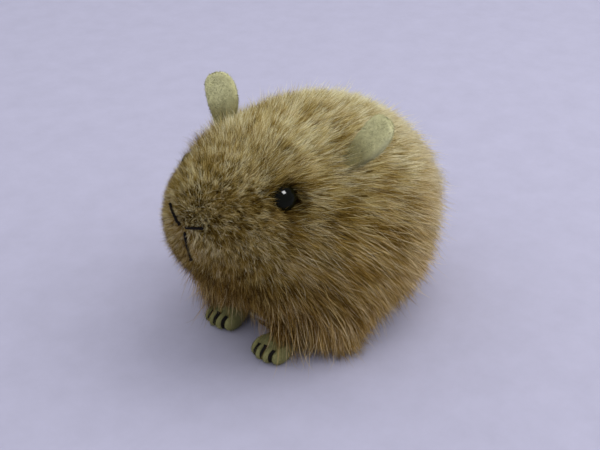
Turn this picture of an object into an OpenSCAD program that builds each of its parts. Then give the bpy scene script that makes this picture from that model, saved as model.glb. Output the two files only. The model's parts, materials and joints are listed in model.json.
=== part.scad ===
// Clockwork mouse: a fur-covered toy that runs on a wound spring.
// +X points to the nose, +Y to the animal's left, +Z up, and z = 0 is the floor.

/* [Body] */
// Length of the furry body from rump to nose
body_len = 85; // [80:1:92]
// Height of the body's centreline above the floor
axis_z = 25.8; // [25:0.1:27]
// How far the centreline climbs towards the nose
head_lift = 17; // [15:0.5:19]
// Height of the back above the centreline
back_h = 31; // [30:0.2:34]
// Half the body's width at the rump
rump_half_w = 28.4; // [27:0.2:31]
// Half the body's width at the middle
mid_half_w = 27.7; // [27.5:0.2:31]
// Half the body's width at the head
head_half_w = 22; // [21:0.5:25]
// Depth of the rump below the centreline
rump_drop = 34.5; // [33.5:0.5:38]
// Depth of the belly below the centreline
belly_drop = 28.3; // [28:0.1:31]
// Depth of the chin below the centreline
chin_drop = 13.8; // [12:0.2:17]
// Roundness of the upper half: 2 is an ellipse, more is boxier
round_up = 2.1; // [2:0.1:2.6]
// Roundness of the lower half: 2 is an ellipse, more is boxier
round_down = 3.6; // [3.5:0.1:4.5]
// Roundness of the fur's lower half at the rump, where it is tucked under
round_tuck = 2.3; // [2.2:0.1:3]
// Thickness of the pelt: backing and fur together
fur_depth = 4; // [3.8:0.1:4.4]
// Height of the fur's edge above the floor at the sides and rump
hem_side = 1; // [0.6:0.1:2]
// Wall of the moulded shell under the pelt
shell_wall = 1.2; // [0.9:0.1:1.5]
// Gap between the pelt and the shell
pelt_gap = 0.55; // [0.5:0.05:0.7]
// Width of the lip inside the shell's lower edge
lip_w = 2.8; // [2.6:0.1:3]
// Thickness of that lip
lip_t = 2.5; // [2:0.1:3]

/* [Face and paws] */
// Diameter of an eye bead
eye_d = 6.5; // [6:0.1:7]
// Turn of the eyes from the nose, seen from above, in degrees
eye_turn = 31.2; // [27:0.1:36]
// Rise of the eyes above the body's core, in degrees
eye_rise = 38.4; // [34:0.1:42]
// Depth of a bead's centre under the fur's surface
eye_sink = 1.5; // [0.8:0.1:1.7]
// Diameter of an eye's shank
shank_d = 1.4; // [1:0.1:1.8]
// Diameter of the washer that locks a shank
washer_d = 5; // [4:0.1:6]
// Length of an ear from the fur to its tip
ear_len = 15; // [12:0.5:18]
// Width of an ear near its tip
ear_w = 9; // [8:0.2:11]
// Width of an ear at its root
ear_root_w = 7.6; // [5:0.2:9]
// Thickness of the felt ears
ear_t = 2; // [1:0.1:2.6]
// Depth of an ear's root inside the pelt
ear_root_depth = 2; // [1:0.1:3]
// Diameter of the nose and mouth thread
thread_d = 1; // [0.7:0.1:1.4]
// Distance of each paw's middle from the nose-to-rump plane
paw_y = 9.5; // [9:0.1:10.5]
// Distance of the paws' toes in front of the body's middle
paw_x = 27; // [26:0.2:28]
// How far the left paw stands ahead of the right one
paw_stride = 3.4; // [0:0.2:4]
// Length of a paw
paw_len = 12; // [10:0.5:13]
// Width of a paw
paw_w = 9.6; // [8:0.2:10]
// Height of a paw
paw_h = 5.4; // [5:0.1:5.6]
// Clearance under the paws, so that the toy rolls freely
paw_lift = 0.3; // [0.2:0.1:0.5]
// Number of toes on a paw
toes = 4; // [3:1:5]

/* [Running gear] */
// Outer diameter of the driven tyres
tyre_d = 18; // [17.6:0.1:18.4]
// Width of a tyre
tyre_w = 4; // [3.4:0.1:4.6]
// Thickness of a tyre's rubber
tyre_t = 1.8; // [1.4:0.1:2.2]
// Distance between the tyres' middles
track_w = 23; // [22.8:0.1:23.4]
// Diameter of the drive axle
axle_d = 2; // [1.8:0.1:2.2]
// Distance of the drive axle behind the body's middle
axle_back = 10; // [9.5:0.1:10.5]
// Diameter of the front roller
roller_d = 5; // [4.6:0.1:5.2]
// Width of the front roller
roller_w = 4; // [3:0.1:4.4]
// Distance of the roller in front of the body's middle
roller_x = 13.5; // [13:0.1:14.5]
// Diameter of the roller's pin
roller_pin_d = 1.2; // [1:0.1:1.4]
// Height of the base plate's underside above the floor
base_z = 4.2; // [4:0.1:4.3]
// Thickness of the base plate
base_t = 1; // [0.9:0.1:1.1]

/* [Motor] */
// Distance between the two motor plates' inner faces
motor_w = 15; // [14.8:0.1:15.6]
// Thickness of a motor plate
plate_t = 0.8; // [0.6:0.1:1]
// Size of the gear teeth: pitch diameter divided by the number of teeth
tooth_size = 0.6; // [0.58:0.01:0.61]
// Teeth on the great wheel
great_teeth = 40; // [38:1:41]
// Teeth on the intermediate wheel
middle_teeth = 32; // [30:1:33]
// Teeth on each pinion
pinion_teeth = 10; // [9:1:11]
// Thickness of the gear wheels
wheel_t = 1.2; // [1:0.1:1.3]
// Length of the pinions
pinion_w = 2; // [1.8:0.1:2.2]
// Diameter of the winding arbor
arbor_d = 3; // [2.6:0.1:3.2]
// Diameter of the intermediate arbor
middle_d = 2; // [1.8:0.1:2.2]
// Diameter of the pillars between the motor plates
pillar_d = 3.2; // [2.8:0.1:3.4]
// Width of the mainspring
spring_w = 6; // [5:0.1:6.2]
// Thickness of the mainspring
spring_t = 0.4; // [0.3:0.05:0.5]
// Turns of the mainspring
spring_turns = 6; // [5:1:7]
// Outer radius of the coiled mainspring
spring_r = 10.4; // [9.8:0.1:10.8]
// Teeth on the ratchet wheel
ratchet_teeth = 12; // [10:1:14]
// Outer radius of the ratchet wheel
ratchet_r = 4.6; // [4.2:0.1:5]
// Diameter of the screws' threads
screw_d = 1.8; // [1.6:0.1:2]

/* [Key] */
// Gap between the flank's fur and the key's bow
key_gap = 2.4; // [2.2:0.1:4]
// Diameter of each round wing of the key
wing_d = 9.5; // [9:0.5:12]
// Diameter of the hole in each wing
wing_hole_d = 4; // [3:0.1:4]
// Distance between the two wings' middles
wing_span = 11.5; // [11.5:0.5:14]
// Thickness of the key's bow
bow_t = 1.4; // [1.2:0.1:1.8]
// Diameter of the key's boss on the arbor
boss_d = 5.4; // [5:0.1:6]

/* [Clearances] */
// Radial clearance of a running shaft
run_gap = 0.05; // [0.03:0.01:0.09]
// Radial clearance of a pressed or glued seat
seat_gap = 0.02; // [0.01:0.01:0.05]
// Gap beside parts that turn
side_gap = 0.3; // [0.2:0.05:0.4]
// Gap round the wheels in their slots
slot_gap = 0.8; // [0.6:0.1:1]
// Play between meshing teeth, measured along the pitch circle
tooth_play = 0.36; // [0.3:0.02:0.44]

/* [Hidden] */
$fn = 48;
cut = 0.5;

// The point inside the body from which its surface is measured
core_z = 24;
core = [0, 0, core_z];
dome_sides = 60;
dome_rows = 18;
dome_low = -28;
halvings = 22;

// Heights and levels
axle_z = tyre_d / 2;
roller_z = roller_d / 2;
base_top = base_z + base_t;
skirt_rise = 0.3;
skirt_z = base_top + skirt_rise;
paw_gap = 0.3;
hem_front = paw_lift + paw_h + paw_gap;
hem_raised_to = 48;
hem_lowered_from = 60;
shell_out = fur_depth + pelt_gap;
shell_in = shell_out + shell_wall;

// Furry forelegs that blend the chest into the paws
leg_r = 5.6;
leg_h = 11;
leg_tuck = 1;
leg_core = 2;
leg_up = 5;
leg_x = paw_x - paw_len + leg_r - leg_tuck;
tuck_from = 0.4;
tuck_to = -0.2;
leg_z = hem_front + leg_up;

// Eye beads in their holes, and the washers that lock their shanks
eye_gap = 0.15;
eye_hole = fur_depth + 1;
washer_t = 0.8;
washer_gap = 0.4;
shank_tail = 1;
shank_gap = 0.1;
shank_depth = shell_in + washer_gap + washer_t + shank_tail;

// Gear centres, in the plane of the wheels
pinion_r = tooth_size * pinion_teeth / 2;
middle_r = tooth_size * middle_teeth / 2;
great_r = tooth_size * great_teeth / 2;
axle_at = [-axle_back, axle_z];
middle_angle = 50;
arbor_angle = 100;
middle_at = axle_at + (pinion_r + middle_r) * [cos(middle_angle), sin(middle_angle)];
arbor_at = middle_at + (pinion_r + great_r) * [cos(arbor_angle), sin(arbor_angle)];

// Layers across the motor, measured from the nose-to-rump plane
bush_wall = 1;
plate_in = motor_w / 2;
plate_out = plate_in + plate_t;
layer_gap = 0.6;
collet_wall = 0.9;
collet_w = spring_w + layer_gap;
collet_r = arbor_d / 2 + collet_wall;
spring_left = plate_in - side_gap - layer_gap;
ratchet_left = spring_left - spring_w - layer_gap;
ratchet_t = 0.9;
great_left = ratchet_left - ratchet_t - layer_gap;
great_right = great_left - wheel_t;
great_hub_r = arbor_d / 2 + bush_wall;
middle_pinion_left = great_left + (pinion_w - wheel_t) / 2;
middle_wheel_left = great_right - 2 * layer_gap;
drive_pinion_left = middle_wheel_left + (pinion_w - wheel_t) / 2;
flange_t = 0.6;
flange_w = 0.7;
bush_end = plate_out + flange_t;

// Motor plates, pillars and their feet
gear_gap = 1;
pillar_drop = 1;
rivet_d = 2;
plate_edge = 2.6;
foot_len = 4.6;
foot_w = 4;
front_foot_x = middle_at[0];
rear_foot_x = axle_at[0] - pinion_r - tooth_size - gear_gap - foot_len / 2;
foot_y = plate_in - foot_w / 2;
pillar_reach = great_r + tooth_size + gear_gap + pillar_d / 2;
front_pillar = arbor_at + [pillar_reach, -pillar_drop];
rear_pillar = arbor_at - [pillar_reach, pillar_drop];
low_pillar = [rear_foot_x, middle_at[1]];
pillars = [front_pillar, rear_pillar, low_pillar];

// Screws and their countersunk heads
head_d = 2 * screw_d;
head_land = 0.1;
head_h = base_t - head_land;
thread_gap = 0.05;
screw_proud = 0.6;
blind_end = 0.4;
shell_screw_turns = [60, 166, 194, 300];

// Roller lugs and the tongue that carries them
lug_t = 0.8;
lug_y = roller_w / 2 + side_gap;
lug_r = roller_pin_d / 2 + lug_t;
pin_proud = 0.4;
tongue_rim = 0.8;
tongue_half_w = lug_y + lug_t + tongue_rim;
tongue_front = roller_x + roller_d / 2 + slot_gap + tongue_rim;

// Wheels
rim_r = tyre_d / 2 - tyre_t;
rim_t = 1;
rim_set_in = 0.3;
hub_wall = 1.4;
hub_proud = 0.4;
hub_r = axle_d / 2 + hub_wall;
hub_in = plate_out + side_gap;
hub_end = (track_w + tyre_w) / 2 + hub_proud;
web_t = 1.2;
axle_proud = 0.8;
axle_half = hub_end + axle_proud;

// Key, its boss and the eyelet that lets the arbor out through the flank
flank_y = half_w(station(arbor_at[0], 0), 0);
eyelet_play = 0.5;
eyelet_wall = 0.6;
eyelet_brim = 1.4;
eyelet_brim_t = 0.5;
eyelet_proud = 0.8;
eyelet_tail = 2;
eyelet_bore = arbor_d / 2 + eyelet_play;
eyelet_r = eyelet_bore + eyelet_wall;
eyelet_brim_r = eyelet_r + eyelet_brim;
eyelet_fit = 0.1;
eyelet_hole_r = eyelet_r + eyelet_fit;
eyelet_end = flank_y + eyelet_proud;
eyelet_in = half_w(station(arbor_at[0], shell_in), shell_in) - eyelet_tail;
boss_grip = 5;
boss_cap = 1;
bow_in = mid_half_w + key_gap;
bow_out = bow_in + wing_d;
boss_in = eyelet_end + side_gap;
boss_out = bow_in + boss_grip;
arbor_end = boss_out - boss_cap;
key_tilt = 140;
mid_y = (bow_out - mid_half_w) / 2;

// Quadratic through a value at the rump, the middle and the nose
function bend(rear, mid, front, u) = mid + (front - rear) / 2 * u + ((front + rear) / 2 - mid) * u * u;

// Place along the body set in by inset: -1 at the rump, 1 at the nose
function station(x, inset) = x / (body_len / 2 - inset);
function taper(u) = sqrt(max(0, 1 - u * u));
function centre_z(u) = axis_z + head_lift * pow(max(0, u), 3);
function half_w(u, inset) = (bend(rump_half_w, mid_half_w, head_half_w, u) - inset) * taper(u);
function rise(u, inset) = (back_h - inset) * taper(u);
function drop(u, inset) = (bend(rump_drop, belly_drop, chin_drop, u) - inset) * taper(u);

// Roundness of the lower half: towards the rump the fur's outside is tucked under
function low_power(u, inset) =
    round_down + (round_tuck - round_down)
        * smooth((u - tuck_from) / (tuck_to - tuck_from)) * max(0, 1 - inset / fur_depth);

// True where a point lies in the body, whose sides hang straight below the skirt
function in_body(p, inset) =
    let (
        u = station(p[0], inset),
        up = max(p[2], skirt_z) - centre_z(u),
        tall = up > 0 ? rise(u, inset) : drop(u, inset),
        power = up > 0 ? round_up : low_power(u, inset)
    )
    abs(u) < 1 && pow(abs(p[1]) / half_w(u, inset), power) + pow(abs(up) / tall, power) < 1;

function in_leg(p, inset) =
    leg_r > inset + leg_core &&
    norm([
        (p[0] - leg_x - sign(p[1]) * paw_stride / 2) / (leg_r - inset),
        (abs(p[1]) - paw_y) / (leg_r - inset),
        (p[2] - leg_z) / (leg_h - inset)
    ]) < 1;

function in_animal(p, inset) = in_body(p, inset) || in_leg(p, inset);

// Distance from a point, along a direction, to the surface: the interval is halved n times
function reach(from, way, inset, near, far, n) =
    n == 0 ? near :
    let (half = (near + far) / 2)
    in_animal(from + way * half, inset)
        ? reach(from, way, inset, half, far, n - 1)
        : reach(from, way, inset, near, half, n - 1);

function aim(turn, lift) = [cos(turn) * cos(lift), sin(turn) * cos(lift), sin(lift)];
function skin_point(turn, lift, inset) =
    core + aim(turn, lift) * reach(core, aim(turn, lift), inset, 0, body_len, halvings);

// Point of the surface straight out from the middle at a given height
function edge_point(turn, inset, z) =
    let (from = [core[0], core[1], z])
    from + aim(turn, 0) * reach(from, aim(turn, 0), inset, 0, body_len, halvings);

// Height of the pelt's hem: raised over the paws, low everywhere else
function smooth(t) = let (c = min(1, max(0, t))) c * c * (3 - 2 * c);
function from_front(turn) = turn > 180 ? 360 - turn : turn;
function hem(turn) =
    hem_front + (hem_side - hem_front)
        * smooth((from_front(turn) - hem_raised_to) / (hem_lowered_from - hem_raised_to));

// Rings of points from the crown down to the lowest ring, and then to the hem
function dome_point(turn, row, inset, z) =
    row == dome_rows
        ? edge_point(turn, inset, z)
        : skin_point(turn, 90 - (90 - dome_low) * row / (dome_rows - 1), inset);

dome_turns = [for (j = [0 : dome_sides - 1]) j * 360 / dome_sides];
pelt_hems = [for (turn = dome_turns) hem(turn)];
shell_hems = [for (turn = dome_turns) base_top];

function dome_ring(row, inset, hems) =
    [for (j = [0 : dome_sides - 1]) dome_point(dome_turns[j], row, inset, hems[j])];
function dome_rings(inset, hems) = [for (row = [1 : dome_rows]) dome_ring(row, inset, hems)];

// The shell's lower edge is thickened inwards into a lip with an upright inner face
function lip_point(turn, depth) = edge_point(turn, shell_in, base_top) - aim(turn, 0) * depth;
function lip_ring(z) = [for (turn = dome_turns) let (p = lip_point(turn, lip_w)) [p[0], p[1], z]];

function lip_seat() = [for (turn = dome_turns) edge_point(turn, shell_in, base_top + lip_t)];

// Closed wall: down the outside from the crown, round the edge, and up the inside
module wall(outer, inner, outer_inset, inner_inset) {
    rings = concat(outer, [for (k = [len(inner) - 1 : -1 : 0]) inner[k]]);
    top = [skin_point(0, 90, outer_inset)];
    under = [skin_point(0, 90, inner_inset)];
    last = len(rings) * dome_sides + 1;
    function at(ring, j) = 1 + ring * dome_sides + j % dome_sides;
    crown_faces = [for (j = [0 : dome_sides - 1]) [0, at(0, j + 1), at(0, j)]];
    side_faces = [
        for (r = [0 : len(rings) - 2]) for (j = [0 : dome_sides - 1]) each [
            [at(r, j), at(r, j + 1), at(r + 1, j + 1)],
            [at(r, j), at(r + 1, j + 1), at(r + 1, j)]
        ]
    ];
    inner_faces = [for (j = [0 : dome_sides - 1]) [last, at(len(rings) - 1, j), at(len(rings) - 1, j + 1)]];
    points = concat(top, [for (ring = rings) each ring], under);
    polyhedron(points, concat(crown_faces, side_faces, inner_faces));
}

// Holds its children with their z axis along a direction from a point
module facing(p, turn, lift) {
    translate(p) rotate([0, 90 - lift, turn]) children();
}

// Holds its children on an axle: their z axis runs to the animal's right, from the layer at left
module on_axle(at, left) {
    translate([at[0], left, at[1]]) rotate([90, 0, 0]) children();
}

// Children on both sides of the nose-to-rump plane
module both_sides() {
    children();
    mirror([0, 1, 0]) children();
}

module ring(outer_r, inner_r, w) {
    difference() {
        cylinder(r = outer_r, h = w);
        translate([0, 0, -cut]) cylinder(r = inner_r, h = w + 2 * cut);
    }
}

// Gear outline: involute flanks, thinned by half the play
function involute(r, roll) =
    let (arc = roll * PI / 180)
    r * [cos(roll) + arc * sin(roll), sin(roll) - arc * cos(roll)];
function turned(p, angle) = [p[0] * cos(angle) - p[1] * sin(angle), p[0] * sin(angle) + p[1] * cos(angle)];
function roll_at(base_r, r) = r <= base_r ? 0 : sqrt(r * r / (base_r * base_r) - 1) * 180 / PI;

pressure = 20;
addendum = 0.8;
dedendum = 1.15;
flank_steps = 4;

function flank(teeth, side) =
    let (
        pitch_r = tooth_size * teeth / 2,
        base_r = pitch_r * cos(pressure),
        tip_r = pitch_r + addendum * tooth_size,
        half_tooth = 90 / teeth - tooth_play / 2 / pitch_r * 90 / PI,
        at_pitch = involute(base_r, roll_at(base_r, pitch_r)),
        swing = half_tooth + atan2(at_pitch[1], at_pitch[0])
    )
    [for (i = [0 : flank_steps])
        let (
            r = base_r + (tip_r - base_r) * i / flank_steps,
            p = turned(involute(base_r, roll_at(base_r, r)), -swing)
        )
        [p[0], side * p[1]]
    ];

module gear(teeth, w, bore_r) {
    root_r = tooth_size * (teeth / 2 - dedendum);
    lower = flank(teeth, 1);
    upper = flank(teeth, -1);
    root_low = root_r * [cos(atan2(lower[0][1], lower[0][0])), sin(atan2(lower[0][1], lower[0][0]))];
    root_high = [root_low[0], -root_low[1]];
    tooth = concat([root_low], lower, [for (i = [flank_steps : -1 : 0]) upper[i]], [root_high]);
    outline = [for (k = [0 : teeth - 1]) for (p = tooth) turned(p, k * 360 / teeth)];
    difference() {
        linear_extrude(w) polygon(outline);
        translate([0, 0, -cut]) cylinder(r = bore_r, h = w + 2 * cut);
    }
}

// Turn that puts a gear in mesh with another: angle is the direction from the first to the second
function mesh_turn(angle, first_turn, first_teeth, teeth) =
    angle + 180 - (0.5 - (angle - first_turn) * first_teeth / 360) * 360 / teeth;
middle_turn = mesh_turn(middle_angle, 0, pinion_teeth, middle_teeth);
great_turn = mesh_turn(arbor_angle, middle_turn, pinion_teeth, great_teeth);

// Soft outside

module pelt() {
    color([0.46, 0.37, 0.22])
        difference() {
            wall(dome_rings(0, pelt_hems), dome_rings(fur_depth, pelt_hems), 0, fur_depth);
            both_sides()
                eye_axis()
                    translate([0, 0, -eye_hole]) cylinder(d = eye_d + 2 * eye_gap, h = eye_hole + eye_d);
            on_axle(arbor_at, 0) cylinder(r = eyelet_hole_r, h = body_len);
        }
}

// The eyes look straight out of the surface that they sit in
function outward(turn, lift) =
    let (
        across = skin_point(turn + 1, lift, 0) - skin_point(turn - 1, lift, 0),
        along = skin_point(turn, lift + 1, 0) - skin_point(turn, lift - 1, 0),
        out = cross(across, along)
    )
    out / norm(out);

module eye_axis() {
    way = outward(eye_turn, eye_rise);
    facing(skin_point(eye_turn, eye_rise, 0), atan2(way[1], way[0]), asin(way[2])) children();
}

module eye() {
    color([0.02, 0.02, 0.02])
        eye_axis() {
            translate([0, 0, -eye_sink]) sphere(d = eye_d);
            translate([0, 0, -shank_depth]) cylinder(d = shank_d, h = shank_depth - eye_sink);
        }
}

module eye_left() {
    eye();
}

module eye_right() {
    mirror([0, 1, 0]) eye();
}

module eye_washers() {
    color([0.8, 0.8, 0.78])
        both_sides()
            eye_axis()
                translate([0, 0, -shell_in - washer_gap - washer_t])
                    ring(washer_d / 2, shank_d / 2 + seat_gap, washer_t);
}

// The right ear is sewn on a little further forward than the left
left_ear_turn = 70;
right_ear_turn = 57;
ear_rise = 53;
ear_lean_out = 25;
ear_lean_back = 30;

module ear(turn) {
    color([0.55, 0.52, 0.36])
        translate(skin_point(turn, ear_rise, 0))
            rotate([-ear_lean_out, -ear_lean_back, 0])
                rotate([90, 0, 90])
                    translate([0, -ear_root_depth, -ear_t / 2])
                        linear_extrude(ear_t) {
                            tip = ear_len + ear_root_depth - ear_w / 2;
                            polygon([
                                [-ear_root_w / 2, 0], [ear_root_w / 2, 0],
                                [ear_w / 2, tip], [-ear_w / 2, tip]
                            ]);
                            translate([0, tip]) circle(d = ear_w);
                        }
}

module ear_left() {
    ear(left_ear_turn);
}

module ear_right() {
    mirror([0, 1, 0]) ear(right_ear_turn);
}

// Thread laid along the muzzle from one direction to another
thread_steps = 6;
thread_sides = 8;
function thread_path(from, to) =
    [for (i = [0 : thread_steps])
        let (t = i / thread_steps)
        skin_point(from[0] + (to[0] - from[0]) * t, from[1] + (to[1] - from[1]) * t, 0)
    ];

module thread(path) {
    function along(i) = path[min(i + 1, thread_steps)] - path[max(i - 1, 0)];
    function unit(v) = v / norm(v);
    rings = [
        for (i = [0 : thread_steps])
            let (
                way = unit(along(i)),
                over = unit(path[i] - core),
                side = unit(cross(way, over)),
                top = cross(side, way)
            )
            for (k = [0 : thread_sides - 1])
                let (angle = k * 360 / thread_sides)
                path[i] + thread_d / 2 * (side * cos(angle) + top * sin(angle))
    ];
    function at(i, k) = i * thread_sides + k % thread_sides;
    sides = [
        for (i = [0 : thread_steps - 1]) for (k = [0 : thread_sides - 1]) each [
            [at(i, k), at(i, k + 1), at(i + 1, k + 1)],
            [at(i, k), at(i + 1, k + 1), at(i + 1, k)]
        ]
    ];
    near_end = [for (k = [thread_sides - 1 : -1 : 0]) at(0, k)];
    far_end = [for (k = [0 : thread_sides - 1]) at(thread_steps, k)];
    polyhedron(rings, concat(sides, [near_end], [far_end]));
}

nose_low = [1.2, 22.6];
nose_high_left = [7.4, 22.4];
nose_high_right = [6.8, 25.8];
mouth_top = [0, 20.6];
mouth_low = [-5.2, 8];

module nose_stitches() {
    color([0.05, 0.04, 0.04]) {
        thread(thread_path(nose_low, nose_high_left));
        mirror([0, 1, 0]) thread(thread_path(nose_low, nose_high_right));
    }
}

module mouth_stitch() {
    color([0.05, 0.04, 0.04]) thread(thread_path(mouth_top, mouth_low));
}

// A paw: rounded toes side by side in front of one round pad, flat underneath
toe_merge = 1.18;
toe_d = paw_w / toes * toe_merge;
toe_step = (paw_w - toe_d) / (toes - 1);
toe_len = 7.2;
toe_lag = 0.8;
toe_dip = 0.8;
pad_set_in = 0.5;
pad_d = paw_w - 2 * pad_set_in;

module paw() {
    color([0.5, 0.48, 0.3]) {
        for (k = [0 : toes - 1])
            translate([
                paw_x - toe_d / 2 - toe_lag * abs(k - (toes - 1) / 2),
                paw_y - (paw_w - toe_d) / 2 + k * toe_step,
                paw_lift
            ])
                toe(paw_h - toe_d / 2 - toe_dip);
        translate([paw_x - paw_len + pad_d / 2, paw_y, paw_lift]) cylinder(d = pad_d, h = paw_h);
    }
}

// One toe with a round front and top; its middle line is at height up
module toe(up) {
    translate([0, 0, up]) {
        sphere(d = toe_d);
        rotate([0, -90, 0]) cylinder(d = toe_d, h = toe_len);
    }
    cylinder(d = toe_d, h = up);
    translate([-toe_len, -toe_d / 2, 0]) cube([toe_len, toe_d, up]);
}

module paw_left() {
    translate([paw_stride / 2, 0, 0]) paw();
}

module paw_right() {
    translate([-paw_stride / 2, 0, 0]) mirror([0, 1, 0]) paw();
}

// Shell, base and frame

module shell_screw_spots() {
    for (turn = shell_screw_turns) {
        p = lip_point(turn, lip_w / 2);
        translate([p[0], p[1], base_z]) children();
    }
}

module chassis_screw_spots() {
    both_sides()
        for (x = [front_foot_x, rear_foot_x])
            translate([x, foot_y, base_z]) children();
}

// Countersunk screw, standing on its head
module screw(len) {
    cylinder(d1 = head_d, d2 = screw_d, h = head_h);
    cylinder(d = screw_d, h = len);
}

module screw_hole(len) {
    cylinder(d1 = head_d + 2 * thread_gap, d2 = screw_d + 2 * thread_gap, h = head_h);
    translate([0, 0, -cut]) cylinder(d = screw_d + 2 * thread_gap, h = len + cut);
}

module body_shell() {
    inner = concat(
        [for (row = [1 : dome_rows - 1]) dome_ring(row, shell_in, shell_tops)],
        [lip_seat(), lip_ring(base_top + lip_t), lip_ring(base_top)]
    );
    color([0.3, 0.28, 0.26])
        difference() {
            wall(dome_rings(shell_out, shell_hems), inner, shell_out, shell_in);
            both_sides()
                eye_axis() {
                    translate([0, 0, -shank_depth]) cylinder(d = shank_d + 2 * shank_gap, h = shank_depth);
                    translate([0, 0, -eye_sink]) sphere(d = eye_d + 2 * eye_gap);
                }
            on_axle(arbor_at, 0) cylinder(r = eyelet_hole_r, h = body_len);
            shell_screw_spots() cylinder(d = screw_d + 2 * thread_gap, h = base_t + shell_thread);
            both_sides()
                on_axle(axle_at, (track_w + tyre_w) / 2 + slot_gap)
                    cylinder(d = tyre_d + 2 * slot_gap, h = tyre_w + 2 * slot_gap);
        }
}

shell_tops = [for (turn = dome_turns) base_top + lip_t];
shell_thread = lip_t - blind_end;

module shell_screws() {
    color([0.7, 0.7, 0.72]) shell_screw_spots() screw(base_t + shell_thread - thread_gap);
}

module base_outline() {
    polygon([for (turn = dome_turns) let (p = edge_point(turn, shell_out, base_top)) [p[0], p[1]]]);
    translate([0, -tongue_half_w]) square([tongue_front, 2 * tongue_half_w]);
}

// Half the length of the slot that a wheel of radius r needs at the base plate's top
function slot_half(r, z) = sqrt(r * r - pow(max(0, z - base_top), 2)) + slot_gap;

module base_plate() {
    wheel_slot = slot_half(tyre_d / 2, axle_z);
    roller_slot = roller_d / 2 + slot_gap;
    color([0.55, 0.57, 0.58]) {
        difference() {
            translate([0, 0, base_z]) linear_extrude(base_t) base_outline();
            both_sides()
                translate([axle_at[0] - wheel_slot, track_w / 2 - tyre_w / 2 - slot_gap, base_z - cut])
                    cube([2 * wheel_slot, tyre_w + 2 * slot_gap, base_t + 2 * cut]);
            translate([roller_x - roller_slot, -lug_y, base_z - cut])
                cube([2 * roller_slot, 2 * lug_y, base_t + 2 * cut]);
            shell_screw_spots() screw_hole(base_t + cut);
            chassis_screw_spots() screw_hole(base_t + cut);
        }
        both_sides() roller_lug();
    }
}

module roller_lug() {
    translate([roller_x, lug_y + lug_t, 0]) rotate([90, 0, 0])
        difference() {
            union() {
                translate([0, roller_z]) cylinder(r = lug_r, h = lug_t);
                translate([-lug_r, roller_z, 0]) cube([2 * lug_r, base_z + base_t / 2 - roller_z, lug_t]);
            }
            translate([0, roller_z, -cut]) cylinder(d = roller_pin_d + 2 * seat_gap, h = lug_t + 2 * cut);
        }
}

module chassis_screws() {
    color([0.7, 0.7, 0.72]) chassis_screw_spots() screw(base_t + plate_t + screw_proud);
}

// Left motor plate; the right one is its mirror image
module motor_plate() {
    low = base_top;
    rear = rear_pillar[0] - plate_edge;
    front = front_pillar[0] + plate_edge;
    top = arbor_at[1] + 2 * plate_edge;
    shoulder = 6;
    color([0.72, 0.66, 0.45])
        difference() {
            union() {
                on_axle([0, 0], plate_out)
                    linear_extrude(plate_t)
                        polygon([
                            [rear_foot_x - foot_len / 2, low], [front_foot_x + foot_len / 2, low],
                            [front_foot_x + foot_len / 2, middle_at[1] - shoulder],
                            [front, front_pillar[1] - plate_edge], [front, top - shoulder],
                            [front - shoulder, top], [rear + shoulder, top],
                            [rear, top - shoulder], [rear, rear_pillar[1] - plate_edge],
                            [rear_foot_x - foot_len / 2, middle_at[1] - shoulder]
                        ]);
                for (x = [front_foot_x, rear_foot_x])
                    translate([x - foot_len / 2, plate_in - foot_w, low])
                        cube([foot_len, foot_w + plate_t, plate_t]);
            }
            for (p = pillars)
                on_axle(p, plate_out + cut) cylinder(d = rivet_d + 2 * seat_gap, h = plate_t + 2 * cut);
            on_axle(axle_at, plate_out + cut) bush_hole(axle_d);
            on_axle(middle_at, plate_out + cut) bush_hole(middle_d);
            on_axle(arbor_at, plate_out + cut) bush_hole(arbor_d);
            chassis_screw_spots() cylinder(d = screw_d + 2 * thread_gap, h = base_t + plate_t + cut);
        }
}

module bush_hole(shaft_d) {
    cylinder(r = shaft_d / 2 + bush_wall + seat_gap, h = plate_t + 2 * cut);
}

module motor_plate_left() {
    motor_plate();
}

module motor_plate_right() {
    mirror([0, 1, 0]) motor_plate();
}

// Pillars riveted over outside both plates
module plate_pillars() {
    head_t = 0.5;
    color([0.72, 0.73, 0.75])
        for (p = pillars) {
            on_axle(p, plate_in) cylinder(d = pillar_d, h = motor_w);
            on_axle(p, plate_out) cylinder(d = rivet_d, h = 2 * plate_out);
            on_axle(p, plate_out + head_t) cylinder(d = pillar_d, h = head_t);
            on_axle(p, -plate_out) cylinder(d = pillar_d, h = head_t);
        }
}

// Flanged bushes in both plates for one shaft, each with its flange outside or inside its plate
module bushes(at, shaft_d, flange_left) {
    bore_r = shaft_d / 2 + run_gap;
    body_r = shaft_d / 2 + bush_wall;
    left = max(plate_out, flange_left);
    right = min(plate_in, flange_left - flange_t);
    color([0.78, 0.62, 0.3])
        both_sides() {
            on_axle(at, left) ring(body_r, bore_r, left - right);
            on_axle(at, flange_left) ring(body_r + flange_w, bore_r, flange_t);
        }
}

// The axle's flanges are inside, which leaves room for the wheels
module axle_bushes() {
    bushes(axle_at, axle_d, plate_in);
}

module intermediate_bushes() {
    bushes(middle_at, middle_d, bush_end);
}

module arbor_bushes() {
    bushes(arbor_at, arbor_d, bush_end);
}

// Running gear

module drive_axle() {
    color([0.75, 0.76, 0.78]) on_axle(axle_at, axle_half) cylinder(d = axle_d, h = 2 * axle_half);
}

module drive_pinion() {
    color([0.78, 0.62, 0.3])
        on_axle(axle_at, drive_pinion_left) gear(pinion_teeth, pinion_w, axle_d / 2 + seat_gap);
}

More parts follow.
